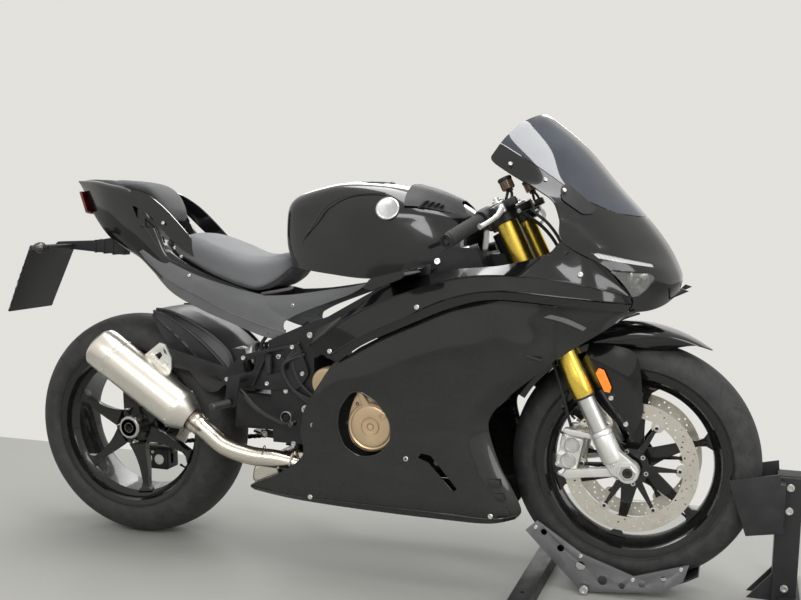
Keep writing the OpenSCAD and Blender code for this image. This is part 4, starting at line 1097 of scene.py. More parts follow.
seat_stations = [(150, 40, 830, 842, 2), (158, 66, 820, 856, 4), (178, 88, 812, 864, 4), (230, 106, 792, 860, 6),
                 (300, 119, 762, 838, 4), (370, 124, 742, 814, 4), (430, 116, 730, 806, 8), (470, 100, 746, 812, 8),
                 (505, 82, 776, 818, 6), (519, 66, 790, 812, 4)]
padded("rider_seat_pad", closed(skin(pad_rows(seat_stations), 26, 60)), "chassis", seat_grey, ["rider_seat"], 4, 4)
pillion = [(-76, 20, 1000, 1008, 3), (-50, 46, 998, 1010, 4), (-10, 58, 992, 1009, 3), (40, 66, 984, 1004, 3),
           (76, 70, 970, 994, 4), (104, 68, 930, 970, 6), (122, 58, 902, 942, 6), (132, 40, 900, 926, 4)]
padded("pillion_pad", closed(skin(pad_rows(pillion), 22, 44)), "chassis", seat_black, ["pillion_seat"], 4, 3)
piping = hose([(156, 68, 826), (240, 104, 794), (330, 120, 759), (420, 117, 734), (470, 99, 750), (512, 74, 788)],
              1.8, 6, 8)
piece("seat_piping", both(piping), "chassis", trim_black)

# tail: under line, lower edge, side crease, top edge, middle
tail_rows = [[(-182, 0, 1008), (-134, 0, 928), (-70, 0, 862), (0, 0, 826), (60, 0, 800), (120, 0, 754), (162, 0, 724),
              (262, 0, 694), (360, 0, 690), (440, 0, 690)], [(-182, 8, 1008), (-132, 30, 930), (-68, 50, 864),
                                                             (0, 68, 828), (60, 84, 802), (120, 96, 756),
                                                             (162, 100, 726), (262, 106, 696), (360, 106, 690),
                                                             (440, 100, 690)], [(-184, 14, 1011), (-120, 46, 962),
                                                                                (-60, 70, 912), (6, 88, 876),
                                                                                (66, 100, 846), (124, 108, 806),
                                                                                (172, 111, 776), (264, 112, 744),
                                                                                (360, 111, 716), (438, 104, 702)],
             [(-185, 14, 1013), (-110, 54, 996), (-50, 78, 972), (20, 92, 938), (78, 100, 896), (130, 104, 856),
              (168, 104, 812), (256, 106, 776), (360, 106, 742), (436, 100, 720)],
             [(-185, 10, 1015), (-110, 46, 1013), (-50, 66, 1004), (24, 78, 988), (86, 82, 950), (126, 80, 886),
              (150, 78, 836), (256, 80, 776), (360, 80, 742), (436, 76, 722)],
             [(-186, 0, 1016), (-110, 0, 1015), (-50, 0, 998), (26, 0, 982), (78, 0, 962), (122, 0, 892),
              (148, 0, 826), (252, 0, 778), (360, 0, 742), (436, 0, 722)]]
tail = closed(skin(tail_rows, 50, 90))
duct = rounded([(46, 946), (60, 942), (124, 896), (116, 886), (74, 888)], 4)
tail = carved(tail, both(plate(duct, 78, 140)))
# raised wings beside the pad, and the spear on top
wing_rows = [
    [(34, 88, 962), (90, 96, 930), (150, 104, 876), (196, 108, 838), (240, 108, 812)],
    [(36, 84, 990), (86, 90, 978), (140, 96, 946), (188, 99, 904), (230, 101, 862)]]
wing = thick(skin(wing_rows, 8, 30), 5)
spear_rows = [[(-170, 18, 1013), (-120, 34, 1010), (-60, 54, 1003), (0, 66, 995)],
              [(-170, 14, 1015), (-118, 24, 1018), (-62, 36, 1013), (0, 44, 1004)],
              [(-172, 8, 1015), (-118, 12, 1016), (-60, 18, 1010), (0, 24, 1002)]]
spear = thick(skin(spear_rows, 8, 24), 3)
edge = hose([(-30, 76, 958), (30, 91, 932), (84, 100, 892), (124, 107, 846), (160, 109, 806), (262, 112, 770),
             (360, 111, 738), (434, 104, 716)], 1.6, 6, 8)
piece("tail_unit", gather((tail, 0), (both(wing), 0), (both(spear), 1), (both(edge), 1),
                          (pair(screw((150, 107, 900), (0.1, 1, 0.2), 5), screw((205, 110, 812), (0, 1, 0), 5)), 2)),
      "chassis", gloss_black, trim_black, bright_bolt, instead=["tail_cowl"], keen=38)

lamp_rows = [[(-160, -46, 983), (-148, -50, 955), (-136, -54, 926)],
             [(-168, -24, 982), (-154, -28, 952), (-141, -30, 922)], [(-170, 0, 981), (-156, 0, 951), (-142, 0, 920)],
             [(-168, 24, 982), (-154, 28, 952), (-141, 30, 922)], [(-160, 46, 983), (-148, 50, 955), (-136, 54, 926)]]
piece("tail_lamp", thick(skin(lamp_rows, 24, 12), 6, at(0, 0, 950)),
      "chassis", red_lens, instead=["tail_light"])

# grey side panels
side_rows = [
    [(70, 100, 819), (160, 107, 722), (262, 113, 672), (355, 118, 640), (447, 122, 610), (524, 124, 599)],
    [(74, 104, 823), (168, 115, 748), (266, 119, 704), (358, 123, 668), (450, 126, 640), (518, 127, 622)],
    [(78, 103, 826), (170, 113, 778), (262, 119, 742), (356, 123, 706), (454, 126, 678), (514, 127, 648)],
    [(84, 100, 830), (166, 110, 797), (250, 115, 765), (350, 119, 738), (454, 121, 717), (556, 122, 700)]]
side = panel(side_rows[:2] + side_rows[1:], 28, 70, 3)
arm_rows = [
    [(500, 124, 640), (516, 125, 652), (560, 126, 675), (640, 129, 706), (702, 131, 729), (748, 132, 756)],
    [(470, 125, 690), (512, 127, 688), (566, 128, 700), (640, 130, 722), (700, 132, 743), (748, 132, 758)],
    [(452, 121, 716), (506, 122, 719), (560, 123, 725), (640, 126, 738), (700, 129, 748), (746, 131, 759)]]
arm = panel(arm_rows, 14, 40, 3)
piece("grey_side_panels", pair((side, 0), (arm, 0),
                               (gather(screw((540, 126.5, 694), (0, 1, 0), 5),
                                       screw((232, 117.5, 762), (0, 1, 0.1), 5)), 1)), "chassis", panel_grey,
      bright_bolt, instead=["side_panels"], keen=24)

# plate holder, its lamps and the wrapped plate
stem = slab([(-150, 814), (-40, 806), (-36, 826), (-66, 857), (-140, 846), (-268, 841), (-288, 824)], -14, 14, 3, 3)
ribs = gather(*[slab([(-140 + 30 * i, 811 - 2.6 * i), (-136 + 30 * i, 811 - 2.6 * i), (-134 + 30 * i, 848),
                      (-138 + 30 * i, 848)], -16, 16, 0.8) for i in range(3)])
cross = brick((-236, -120, 823), (-212, 120, 835), 3, 3)
base = slab([(-300, 832), (-390, 642), (-386, 638), (-290, 822), (-268, 832)], -95, 95, 1.2)
bolts = gather(*[turned([(0, 0), (11, 0), (11, 4), (6, 5), (6, 9), (0, 9)], at(-318, y, 788), 6, (-0.9, 0, 0.42))
                 for y in (-62, 62)])
piece("plate_bracket", gather((stem, 0), (ribs, 0), (cross, 0), (base, 0), (bolts, 1)), "chassis", trim_black,
      bright_bolt, instead=["plate_holder"])
wrap = skin([[(-300, -98, 824), (-330, -99, 762), (-360, -98, 700), (-388, -97, 640)],
             [(-300, -40, 826), (-331, -42, 763), (-362, -40, 700), (-389, -40, 640)],
             [(-300, 40, 826), (-331, 42, 763), (-362, 40, 700), (-389, 40, 640)],
             [(-300, 98, 824), (-330, 99, 762), (-360, 98, 700), (-388, 97, 640)]], 60, 60)
for v in wrap.verts:
    x, y, z = v.co / MM
    fold = math.sin(y * 0.21 + z * 0.13) * math.sin(z * 0.17 - y * 0.07) + 0.6 * math.sin(y * 0.5 - z * 0.31)
    v.co += Vector((-0.9, 0, 0.42)) * fold * 0.9 * MM
piece("wrapped_plate", thick(wrap, 1.2, at(0, 0, 800)), "chassis", film, keen=60)
stalk = turned([(0, -22), (6, -22), (6, 0), (8, 2), (14, 8), (15, 18), (11, 30), (5, 40), (0, 43)],
               at(-224, 122, 829), 24, (-0.25, 1, 0))
turn_lens = turned([(0, 41), (7.5, 39), (12, 31), (15.3, 20), (12, 31.5), (7, 40), (0, 42)], at(-224, 122, 829), 24,
               (-0.25, 1, 0))
piece("rear_turn_lamps", pair((stalk, 0), (turn_lens, 1)), "chassis", trim_black, smoke_lens,
      instead=["rear_indicators"])

# hugger over the rear tyre
hugger_rows = [
    [(101, 98, 646), (134, 101, 591), (196, 102, 522), (261, 102, 452), (300, 102, 449)],
    [(101, 97, 652), (148, 103, 618), (222, 103, 556), (290, 103, 492), (328, 103, 474)],
    [(100, 90, 659), (156, 97, 643), (246, 101, 588), (318, 101, 524), (341, 101, 486)],
    [(99, 70, 663), (158, 78, 656), (262, 84, 610), (326, 84, 562), (344, 84, 520)],
    [(99, 0, 664), (157, 0, 661), (272, 0, 614), (330, 0, 573), (344, 0, 556)]]
hugger = thick(whole(skin(creased(hugger_rows), 44, 56)), 3.4, at(0, 0, 320))
hugger = carved(hugger, block((322, -87, 430), (372, -33, 576)))
piece("rear_wheel_hugger", hugger, "chassis", hugger_black, instead=["rear_hugger"], keen=24)

# ---------------------------------------------------------------- exhaust
tilt = math.radians(33)
can_dir = Vector((-math.cos(tilt), 0, math.sin(tilt)))
can_up = Vector((math.sin(tilt), 0, math.cos(tilt)))
can_y = -164
can = at(256, can_y, 382)
pipe = hose([(900, -60, 228), (760, -66, 228), (640, -84, 230), (560, -104, 262), (490, -126, 282), (420, -148, 292),
             (352, -162, 314), (308, can_y, 346), (283, can_y, 364), (258, can_y, 381)], 24.6, 8, 32)
collar = turned([(24.6, -36), (28, -35), (28, -22), (29.4, -20), (29.4, -8), (27, -6), (27, -1), (24.6, 0),
                 (24.6, -36)], can, 40, can_dir)
weld = gather(*[turned([(24, 0), (25.6, 1.4), (24, 2.8), (24, 0)], at(*p), 40, d) for p, d in (
    ((600, -94, 244), (-1, -0.2, 0.5)), ((455, -136, 294), (-1, -0.28, 0.1)))])
spring = []
for side_y in (-28, 28):
    spring.append(hose([(296, can_y + side_y, 358), (286, can_y + side_y * 1.12, 366),
                        (266, can_y + side_y * 1.12, 380), (252, can_y + side_y, 388)], 2.2, 6, 8))
piece("link_pipe", gather((pipe, 0), (collar, 0), (weld, 0), (gather(*spring), 1)), "chassis", pipe_steel, dark_bolt,
      instead=["exhaust_pipe"], keen=60)

body = turned([(30, 2), (33, 0), (38, 5), (54, 34), (57.2, 41), (57.2, 42.5), (58, 44), (58, 47), (57.2, 48),
               (57.2, 268), (58, 269), (58, 277), (57.2, 278)], can, 64, can_dir)
cap = turned([(57.4, 278), (57.8, 280), (57.4, 322), (55.5, 332), (50, 338), (42, 339.5), (36, 340), (34, 337),
              (34, 320), (32, 300), (31, 262), (0, 258)], can, 64, can_dir)
inside = turned([(31, 262), (31, 339), (33, 339.5), (33.5, 337)], can, 48, can_dir)
rivets = []
for along_can in (46, 273):
    spot = can + can_dir * along_can * MM
    rivet = turned([(0, 57.4), (3.2, 57.4), (2.8, 58.8), (1.5, 59.4), (0, 59.6)], spot, 12, can_up)
    rivets.append(around(rivet, 8, spot, can_dir, 0.35))
seam_angle = math.radians(18)
seam_out = can_up * 57.8 * MM * math.cos(seam_angle) + Vector((0, -1, 0)) * 57.8 * MM * math.sin(seam_angle)
seam = hose([tuple((can + can_dir * d * MM + seam_out - at(0, 0, 0)) / MM) for d in (52, 150, 264)], 0.7, 4, 6)
hanger_plate = plate([(96, 540), (150, 580), (166, 576), (184, 540), (184, 512), (170, 470)], -144, -138)
hole = plate(rounded([(134, 546), (152, 556), (158, 546), (146, 532)], 4), -150, -130)
slot_cut = plate(rounded([(160, 566), (168, 560), (172, 548), (164, 552)], 2), -150, -130)
hanger_plate = soften(carved(hanger_plate, gather(hole, slot_cut)), 0.8)
stay = slab([(150, 520), (174, 566), (362, 520), (362, 498), (300, 498)], -137, -131, 1)
piece("silencer_can", gather((body, 0), (cap, 0), (inside, 1), (gather(*rivets), 2), (seam, 0), (hanger_plate, 2),
                             (stay, 3), (turned([(0, 0), (8, 0), (8, 5), (4, 6), (0, 6)], at(168, -144, 528), 6,
                                                (0, -1, 0)), 2)), "chassis", silencer_steel, dark_bolt, cast_silver,
      frame_black, instead=["silencer"], keen=30)


# ---------------------------------------------------------------- front end, in the fork's own frame
lean = Matrix.Rotation(-RAKE, 4, "Y")


def forked(bm):
    """Moves a piece drawn in the fork's own frame (millimetres from the front axle) onto the bike."""
    bm.transform(Matrix.Translation(front_axle) @ lean @ Matrix.Translation(-at(0, 0, 0)))
    return bm


def bolt(place, out, radius=6, head=5):
    """A socket-head bolt that faces `out`."""
    return turned([(0, -3), (radius, -3), (radius, head - 0.8), (radius - 0.8, head), (radius * 0.55, head),
                   (radius * 0.5, head * 0.4), (0, head * 0.4)], at(*place), 20, out)


up = (0, 0, 1)
fork_tube = at(-22, 105, 0)  # on the left tube's axis, level with the wheel axle
stem_axis = at(-52, 0, 0)
gold = turned([(21.7, 205), (25.8, 205), (27, 207.5), (27, 262), (25.6, 268), (25.6, 412), (26.4, 416), (26.4, 700),
               (24.5, 701), (0, 701)], fork_tube, 48, up)
top_cap = turned([(0, 700.5), (22, 700.5), (22, 706), (20, 708), (12, 708), (12, 714), (10, 715), (0, 715)],
                 fork_tube, 24, up)
knob = turned([(0, 714), (7, 714), (7, 720), (5.5, 721), (0, 721)], fork_tube, 12, up)
piece("gold_fork_tubes", forked(pair((gold, 0), (top_cap, 1), (knob, 1))), "front_fork", fork_gold, cast_silver,
      instead=["fork_tubes"])
seal = turned([(21.6, 200), (25, 200), (26, 202), (26, 205), (21.6, 206), (21.6, 200)], fork_tube, 40, up)
leg = turned([(0, 58), (21.4, 58), (21.4, 204)], fork_tube, 40, up)
foot = turned([(20, 34), (25, 36), (26.5, 44), (26.5, 98), (25, 102), (27.5, 104), (27.5, 112), (25, 116),
               (21.4, 118)], fork_tube, 40, up)
clamp = soften(turned([(12.6, -19), (25, -19), (26, -17), (26, 17), (25, 19), (12.6, 19), (12.6, -19)], at(0, 105, 0),
                      40), 0.6)
web = slab([(-44, 62), (-2, 62), (22, 14), (16, -18), (-16, -20), (-40, 10)], 89, 121, 5, 3)
web = carved(web, pin(12.6, 60, 150, at(0, 0, 0), 32))
pinch = gather(*[bolt((-26 + 20 * i, 121, 30 - 16 * i), (0, 1, 0), 5, 4) for i in range(2)])
arm_top = slab([(-40, 112), (-30, 92), (-96, 132), (-106, 146), (-96, 152)], 92, 112, 4, 3)
arm_low = slab([(-34, 24), (-20, -6), (-100, 22), (-146, 34), (-152, 50), (-138, 56), (-98, 44)], 92, 112, 4, 3)
piece("silver_fork_legs", forked(pair((leg, 0), (seal, 1), (foot, 2), (clamp, 2), (web, 2), (pinch, 3), (arm_top, 2),
                                      (arm_low, 2))), "front_fork", fork_silver, soft_black, cast_silver, bright_bolt,
      instead=["fork_legs"])
axle = turned([(8, -127), (12, -127), (12.4, -126), (12.4, 126), (12, 127), (8, 127), (8, -127)], at(0, 0, 0), 40)
nuts = both(turned([(8.2, 121), (19, 121), (20, 122), (20, 126), (18.5, 127), (8.2, 127), (8.2, 121)], at(0, 0, 0),
                   6))
piece("front_spindle", forked(gather(axle, nuts)), "front_fork", axle_steel, instead=["front_axle"])

turn = Matrix.Rotation(math.radians(-52), 4, "Y")


def at_caliper(bm):
    """Turns a caliper drawn above the axle to its place behind the leg."""
    bm.transform(Matrix.Translation(at(0, 0, 0)) @ turn @ Matrix.Translation(-at(0, 0, 0)))
    return bm


body = brick((-44, 37, 118), (44, 96, 174), 9, 4)
body = carved(body, block((-60, 59, 100), (60, 73, 166)))
body = carved(body, block((-11, 80, 150), (11, 120, 190)))
caps = gather(*[turned([(0, 92), (18, 92), (18.5, 94), (18.5, 99), (17, 101), (12, 101), (11, 99.5), (4, 99.5),
                        (0, 99.5)], at(x, 0, 144), 40) for x in (-20, 20)])
cap_marks = gather(*[turned([(13, 100), (14.5, 101.6), (16, 100), (13, 100)], at(x, 0, 144), 40) for x in (-20, 20)])
pins = gather(*[bolt((x, 98, 168), (0, 1, 0), 5, 3) for x in (-34, 34)])
pads_in = gather(brick((-38, 60.5, 122), (38, 64, 160), 1), brick((-38, 68, 122), (38, 71.5, 160), 1))
bleeder = gather(rod((40, 88, 172), (46, 90, 184), 3), rod((-46, 80, 158), (-54, 78, 166), 5))
caliper = at_caliper(gather((body, 0), (caps, 1), (cap_marks, 2), (pins, 2), (pads_in, 3), (bleeder, 3)))
piece("front_brake_calipers", forked(both(caliper)), "front_fork", cast_silver, fork_silver, bright_bolt, dark_bolt,
      instead=["front_calipers"])
yoke_parts = []
for low, tall in ((418, 38), (656, 24)):
    yoke_parts.append(slab([(-74, low), (-28, low), (-28, low + tall), (-74, low + tall)], -84, 84, 5, 3))
    ring = turned([(25.8, low), (35, low), (36, low + 1.5), (36, low + tall - 1.5), (35, low + tall),
                   (25.8, low + tall), (25.8, low)], fork_tube, 40, up)
    yoke_parts.append(both(ring))
    yoke_parts.append(turned([(0, low - 0.5), (31, low - 0.5), (32, low + 1), (32, low + tall), (30, low + tall + 1),
                              (0, low + tall + 1)], stem_axis, 40, up))
stem_nut = turned([(10, 681), (20, 681), (20, 692), (18, 694), (10, 694), (10, 681)], stem_axis, 6, up)
yoke_bolts = pair(*[bolt((16, 105, z), (1, 0, 0), 5, 5) for z in (428, 446, 668)])
piece("fork_clamps", forked(gather((gather(*yoke_parts), 0), (stem_nut, 1), (yoke_bolts, 1))), "front_fork",
      frame_black, bright_bolt, instead=["fork_yokes"])

# fender: crown rows round the wheel
fender_x, fender_z = 1388, 340  # the middle of the fender's arc
rows = []
for y, r, low, high in ((-76, 286, 150, 76), (-76.5, 304, 150, 70), (-70, 322, 150, 65), (-50, 332, 150, 61),
                        (-24, 335, 150, 58), (0, 336, 150, 56.5)):
    row = []
    for k in range(13):
        a = math.radians(low + (high - low) * k / 12)
        pull = max(0, (k - 9) / 3)
        row.append((fender_x + r * math.cos(a), y * (1 - 0.45 * pull ** 2), fender_z + (r - 5 * pull) * math.sin(a)))
    rows.append(row)
fender = thick(whole(skin(rows, 30, 60)), 3, at(fender_x, 0, fender_z))
cover_rows = [[(1262, 77, 562), (1308, 77, 498), (1352, 78, 450), (1400, 79, 412)],
              [(1276, 80, 580), (1326, 88, 526), (1368, 92, 474), (1410, 84, 424)],
              [(1288, 82, 604), (1366, 101, 568), (1398, 99, 510), (1420, 84, 446)],
              [(1294, 80, 630), (1388, 92, 620), (1414, 88, 580), (1426, 79, 474)]]
cover = thick(skin(cover_rows, 22, 28), 3, at(1350, 0, 500))
cover = carved(cover, pin(29, 0, 400, front_axle + lean @ Vector((-0.022, 0.105, 0.150)), 32,
                          lean @ Vector((0, 0, 1))))
# the amber reflector, whose finish carries a faint painted glow
reflector = slab([(1314, 560), (1321, 573), (1334, 569), (1353, 528), (1349, 515), (1336, 517)], 99, 103.5, 1.8, 3)
fender_bolts = gather(bolt((1352, 98, 502), (0, 1, 0), 6, 3), bolt((1388, 91, 440), (0, 1, 0), 6, 3))
piece("front_mudguard", gather((fender, 0), (both(cover), 0), (both(reflector), 1), (both(fender_bolts), 2)),
      "front_fork", gloss_black, amber_reflector_painted_glow, bright_bolt, instead=["front_fender"], keen=40)

# bars, grips and controls
bar_in, bar_out = Vector((-2, 135, 693)), Vector((-100, 375, 654))


def on_bar(t, dx=0, dy=0, dz=0):
    """A place along the handlebar, t from its clamp to its end, with an offset in mm."""
    p = bar_in.lerp(bar_out, t)
    return (p.x + dx, p.y + dy, p.z + dz)


bar_dir = (bar_out - bar_in).normalized()
bar = rod(on_bar(0), on_bar(1), 11)
clip = turned([(26.6, 682), (36, 682), (37, 683.5), (37, 698.5), (36, 700), (26.6, 700), (26.6, 682)],
              fork_tube, 40, up)
neck = brick((-34, 128, 683), (10, 152, 704), 6, 3)
clip_bolts = gather(bolt((14, 112, 691), (1, 0.2, 0), 4.5, 5), bolt((4, 140, 704), (0, 0, 1), 4.5, 4))
piece("clip_on_bars", forked(pair((bar, 0), (clip, 1), (neck, 1), (clip_bolts, 2))), "front_fork", trim_black,
      frame_black, bright_bolt, instead=["handlebars"])
grip_len = (bar_out - bar_in).length
profile = [(11.2, 0.475 * grip_len), (17.6, 0.475 * grip_len + 1), (18.4, 0.485 * grip_len), (17.6, 0.495 * grip_len),
           (16.6, 0.5 * grip_len)]
for k in range(12):
    s = (0.505 + 0.038 * k) * grip_len
    profile += [(16.2, s), (16.9, s + 1.5), (16.9, s + 6.2), (16.2, s + 7.6)]
profile += [(16.4, 0.965 * grip_len), (14, 0.972 * grip_len), (11.2, 0.972 * grip_len)]
rubber = turned(profile, at(*bar_in), 36, bar_dir)
weight = turned([(0, 0.972 * grip_len), (12, 0.972 * grip_len), (15.5, 0.98 * grip_len), (16.5, 0.995 * grip_len),
                 (15, 1.0 * grip_len), (6, 1.0 * grip_len), (5, 0.985 * grip_len), (0, 0.985 * grip_len)],
                at(*bar_in), 32, bar_dir)
piece("bar_grips", forked(pair((rubber, 0), (weight, 1))), "front_fork", soft_black, frame_black, instead=["grips"])
housing = soften(turned([(11.4, 0.26 * grip_len), (19, 0.26 * grip_len), (21, 0.28 * grip_len), (22, 0.34 * grip_len),
                         (22, 0.4 * grip_len), (20, 0.43 * grip_len), (11.4, 0.43 * grip_len)], at(*bar_in), 12,
                        bar_dir), 1.5)
cylinder = gather(rod(on_bar(0.2, 24, 0, 2), on_bar(0.42, 30, 0, 2), 11),
                  rod(on_bar(0.16, 24, 0, 2), on_bar(0.2, 24, 0, 2), 7), brick((-6, 150, 682), (34, 172, 700), 4, 3))
lever = hose([on_bar(0.3, 34, 0, 0), on_bar(0.4, 46, 0, -2), on_bar(0.54, 56, 0, -6), on_bar(0.68, 60, 0, -7),
              on_bar(0.79, 60, 0, -7), on_bar(0.85, 57, 0, -6)], 5.4, 8, 12,
             lambda t: 1.5 - 0.9 * t if t < 0.5 else (0.95 + 0.3 * max(0, (t - 0.9) * 10)))
pivot = turned([(0, -9), (9, -9), (10, -8), (10, 8), (9, 9), (0, 9)], at(*on_bar(0.31, 36, 0, 0)), 24, up)
pot = turned([(0, 722), (14.5, 722), (16, 724), (16, 743), (14.8, 744), (0, 744)], at(22, 132, 0), 28, up)
pot_lid = turned([(0, 744), (16.6, 744), (17, 745), (17, 750), (15.5, 752), (5, 752), (0, 751)], at(22, 132, 0), 28,
                 up)
pot_stay = gather(rod((22, 132, 724), (12, 160, 702), 3.5), brick((14, 126, 716), (30, 138, 722), 1.5))
feed = hose([(22, 132, 722), (26, 140, 712), (26, 152, 704), (24, 160, 698)], 3.4, 6, 8)
switches = []
for i in range(3):
    spot = Vector(on_bar(0.3 + 0.05 * i, -25, 0, 2))
    switches.append(brick(spot - Vector((3, 5, 4)), spot + Vector((5, 5, 4)), 1.2))
piece("switches_and_levers", forked(pair((housing, 0), (cylinder, 1), (lever, 2), (pivot, 3), (pot, 4), (pot_lid, 0),
                                         (pot_stay, 1), (feed, 0), (gather(*switches), 0))), "front_fork", trim_black,
      frame_black, cast_silver, bright_bolt, fluid_pot, instead=["hand_controls"])
hose_route = [(-52, 88, 417.6), (-56, 88, 390), (-58, 88, 340), (-64, 88, 285), (-72, 87, 230), (-84, 81, 170),
              (-92, 74, 124)]
line = hose(hose_route, 3.9, 8, 10)
ferrule = gather(rod((-88.5, 76.5, 146), (-92, 74.2, 124), 5.2), rod((-52, 88, 417.6), (-55, 88, 398), 5.2))
piece("front_brake_lines", forked(pair((line, 0), (ferrule, 1))), "front_fork", hose_black, bright_bolt,
      instead=["brake_hoses"])
loom = hose([(40, 0, 500), (52, 30, 560), (40, 52, 620), (10, 84, 672), (-6, 118, 700)], 4.2, 8, 8)
piece("bar_cables", forked(both(loom)), "front_fork", hose_black)

# instruments
tip_back = Matrix.Rotation(math.radians(-55), 4, "Y")
screen_turn = Matrix.Translation(at(1232, 0, 1000)) @ tip_back @ Matrix.Translation(-at(0, 0, 0))
case = brick((-43, -84, -11), (43, 84, 8), 6, 3)
face = brick((-36, -77, 6), (36, 77, 10.2), 1.5)
for part in (case, face):
    part.transform(screen_turn)
piece("dash_display", gather((case, 0), (face, 1)), "chassis", trim_black, display_glass, instead=["cockpit_display"])


# ---------------------------------------------------------------- engine, frame and running gear
drop = rounded([(738, 497), (752, 498), (806, 456), (832, 420), (830, 372), (798, 340), (756, 334), (716, 356),
                (706, 400), (716, 450)], 24, 6)
cover = slab(drop, 95, 168, 5, 3)
disc_face = turned([(0, 166), (56, 166), (60, 168), (62, 171), (62, 174), (58, 178), (56, 177), (54, 176),
                    (52, 178.5), (48, 180), (25, 180), (24, 177), (21.5, 176.5), (20, 180), (10, 180), (9, 176),
                    (7, 176), (6, 179), (0, 179)], at(774, 0, 404), 64)
ridge = slab([(736, 494), (748, 494), (776, 452), (752, 446)], 150, 178, 4, 3)
plug = turned([(0, 176), (10, 176), (10, 182), (8, 183), (5, 183), (4, 179), (0, 179)], at(806, 0, 434), 24)
rim_bolts = gather(*[bolt((774 + 67 * math.cos(a), 166, 404 + 67 * math.sin(a)), (0, 1, 0), 4.5, 4)
                     for a in (0.2, 1.0, 2.2, 3.1, 4.0, 5.2)])
small = turned([(0, 95), (39, 95), (40, 98), (40, 144), (37, 149), (30, 150), (0, 150)], at(640, 0, 500), 48)
small_cap = turned([(0, 149), (14, 149), (14, 152), (12, 153), (0, 153)], at(640, 0, 500), 24)
small = gather(soften(small, 0.8), small_cap)
piece("bronze_engine_covers", pair((cover, 0), (disc_face, 0), (ridge, 0), (plug, 0), (rim_bolts, 1), (small, 0)),
      "chassis", bronze, dark_bolt, instead=["engine_covers"])
outline = [(612, 276), (900, 270), (988, 332), (998, 400), (998, 438), (930, 558), (820, 618), (722, 558), (612, 478)]
case = slab(outline, -94, 94, 10, 4)
fins = gather(*[slab([(900 - 6 * i, 560 - 22 * i), (1000, 436 - 4 * i), (1000, 431 - 4 * i),
                      (896 - 6 * i, 554 - 22 * i)], -90, 90, 0.8) for i in range(4)])
sump = slab([(640, 268), (860, 262), (840, 240), (660, 242)], -70, 70, 6, 3)
stub = gather(pin(18, 90, 149, at(640, 0, 365), 24), both(rod((950, 90, 330), (950, 188, 330), 7)))
case_spots = ((630, 300), (700, 288), (860, 290), (960, 350), (960, 430), (880, 560), (760, 560), (640, 440),
              (700, 540))
case_bolts = pair(*[bolt((x, 94, z), (0, 1, 0), 5, 5) for x, z in case_spots])
piece("engine_case", gather((case, 0), (fins, 0), (sump, 0), (stub, 0), (case_bolts, 1)), "chassis", engine_grey,
      bright_bolt, instead=["engine_block"])
core = slab([(1012, 432), (1048, 432), (1073, 668), (1037, 668)], -150, 150, 2)
tanks_side = both(slab([(1008, 430), (1052, 430), (1077, 672), (1033, 672)], 148, 165, 6, 3))
slats = []
for k in range(24):
    x, z = 1048 + k, 440 + 9.6 * k
    slats.append(plate([(x, z), (x + 5.5, z), (x + 5.5, z + 3), (x, z + 3)], -148, 148))
slats = gather(*slats)
lugs = both(plate([(1000.3, 405), (1014, 432), (1014, 440), (1000.3, 440)], 50, 80))
piece("radiator_core", gather((core, 0), (tanks_side, 1), (slats, 1), (lugs, 1)), "chassis", dark_bolt, trim_black,
      instead=["radiator"])

# swingarm, chain and sprocket
rear_hub = at(0, 0, 320)
arm = slab([(-12, 264), (60, 264), (250, 320), (460, 354), (460, 446), (330, 460), (200, 438), (60, 376), (-12, 376)],
           106, 142, 9, 4)
pocket = slab([(90, 300), (240, 346), (400, 372), (400, 428), (330, 436), (210, 412), (90, 352)], 138, 160, 6, 3)
arm = carved(arm, pocket)
end = soften(turned([(27, 103.5), (60, 103.5), (62, 106), (62, 141), (59, 144), (34, 144), (32, 140), (27, 140),
                     (27, 103.5)], rear_hub, 64), 0.6)
arm = carved(arm, pin(28, 90, 160, rear_hub, 40))
cross = slab([(346, 351), (470, 352), (560, 352), (560, 448), (470, 450), (351, 451)], -95, 105, 8, 4)
ears = gather(*[slab([(352, 440), (410, 440), (372, 566), (336, 566), (332, 530)], y, y + 7.6, 1.2)
                for y in (-84, -43.8)])
piece("swingarm_casting", gather((arm, 0), (end, 0), (cross, 0), (ears, 0),
                                 (gather(*[bolt((30 + 26 * math.cos(a), 142, 320 + 46 * math.sin(a)), (0, 1, 0), 5, 5)
                                           for a in (1.2, -1.2)]), 1)), "chassis", frame_black, bright_bolt,
      instead=["swingarm"])
teeth = []
for k in range(84):
    a = math.tau * k / 84
    r = 84 if k % 2 else 79.5
    teeth.append((r * math.cos(a), 320 + r * math.sin(a)))
sprocket = plate(teeth, 153.5, 158.5)
holes = around(pin(11, 140, 170, at(56, 0, 320), 20), 6, rear_hub, first=0.3)
sprocket = carved(sprocket, gather(holes, pin(26, 140, 170, rear_hub, 32)))
spindle = turned([(13, -84), (25, -84), (26, -82), (26, 161), (24, 162), (13, 162), (13, -84)], rear_hub, 48)
nut = soften(turned([(13.2, -84), (31, -84), (34, -81), (34, -70), (13.2, -70), (13.2, -84)], rear_hub, 12), 0.8)
star = around(slab([(22, 308), (50, 314), (50, 326), (22, 332)], -71, -62, 3, 3), 5, rear_hub, first=0.5)
piece("rear_hub_spindle", gather((sprocket, 1), (spindle, 0), (nut, 0), (star, 2),
                                 (around(bolt((40, 158.5, 320), (0, 1, 0), 5, 4), 5, rear_hub), 0)),
      "rear_wheel", axle_steel, dark_bolt, rim_black, instead=["rear_spindle"])

# the chain's middle line: two circles in the side view and the straight runs between them, in mm
big, little, big_r, little_r = Vector((0, 320)), Vector((640, 365)), 94, 46
span = (little - big).length
base_angle = math.atan2(little.y - big.y, little.x - big.x)
flare = math.acos((big_r - little_r) / span)
run = math.sqrt(span ** 2 - (big_r - little_r) ** 2)
top_a, low_a = base_angle + flare, base_angle - flare
front_bend = little_r * 2 * flare
total = 2 * run + front_bend + big_r * (math.tau - 2 * flare)


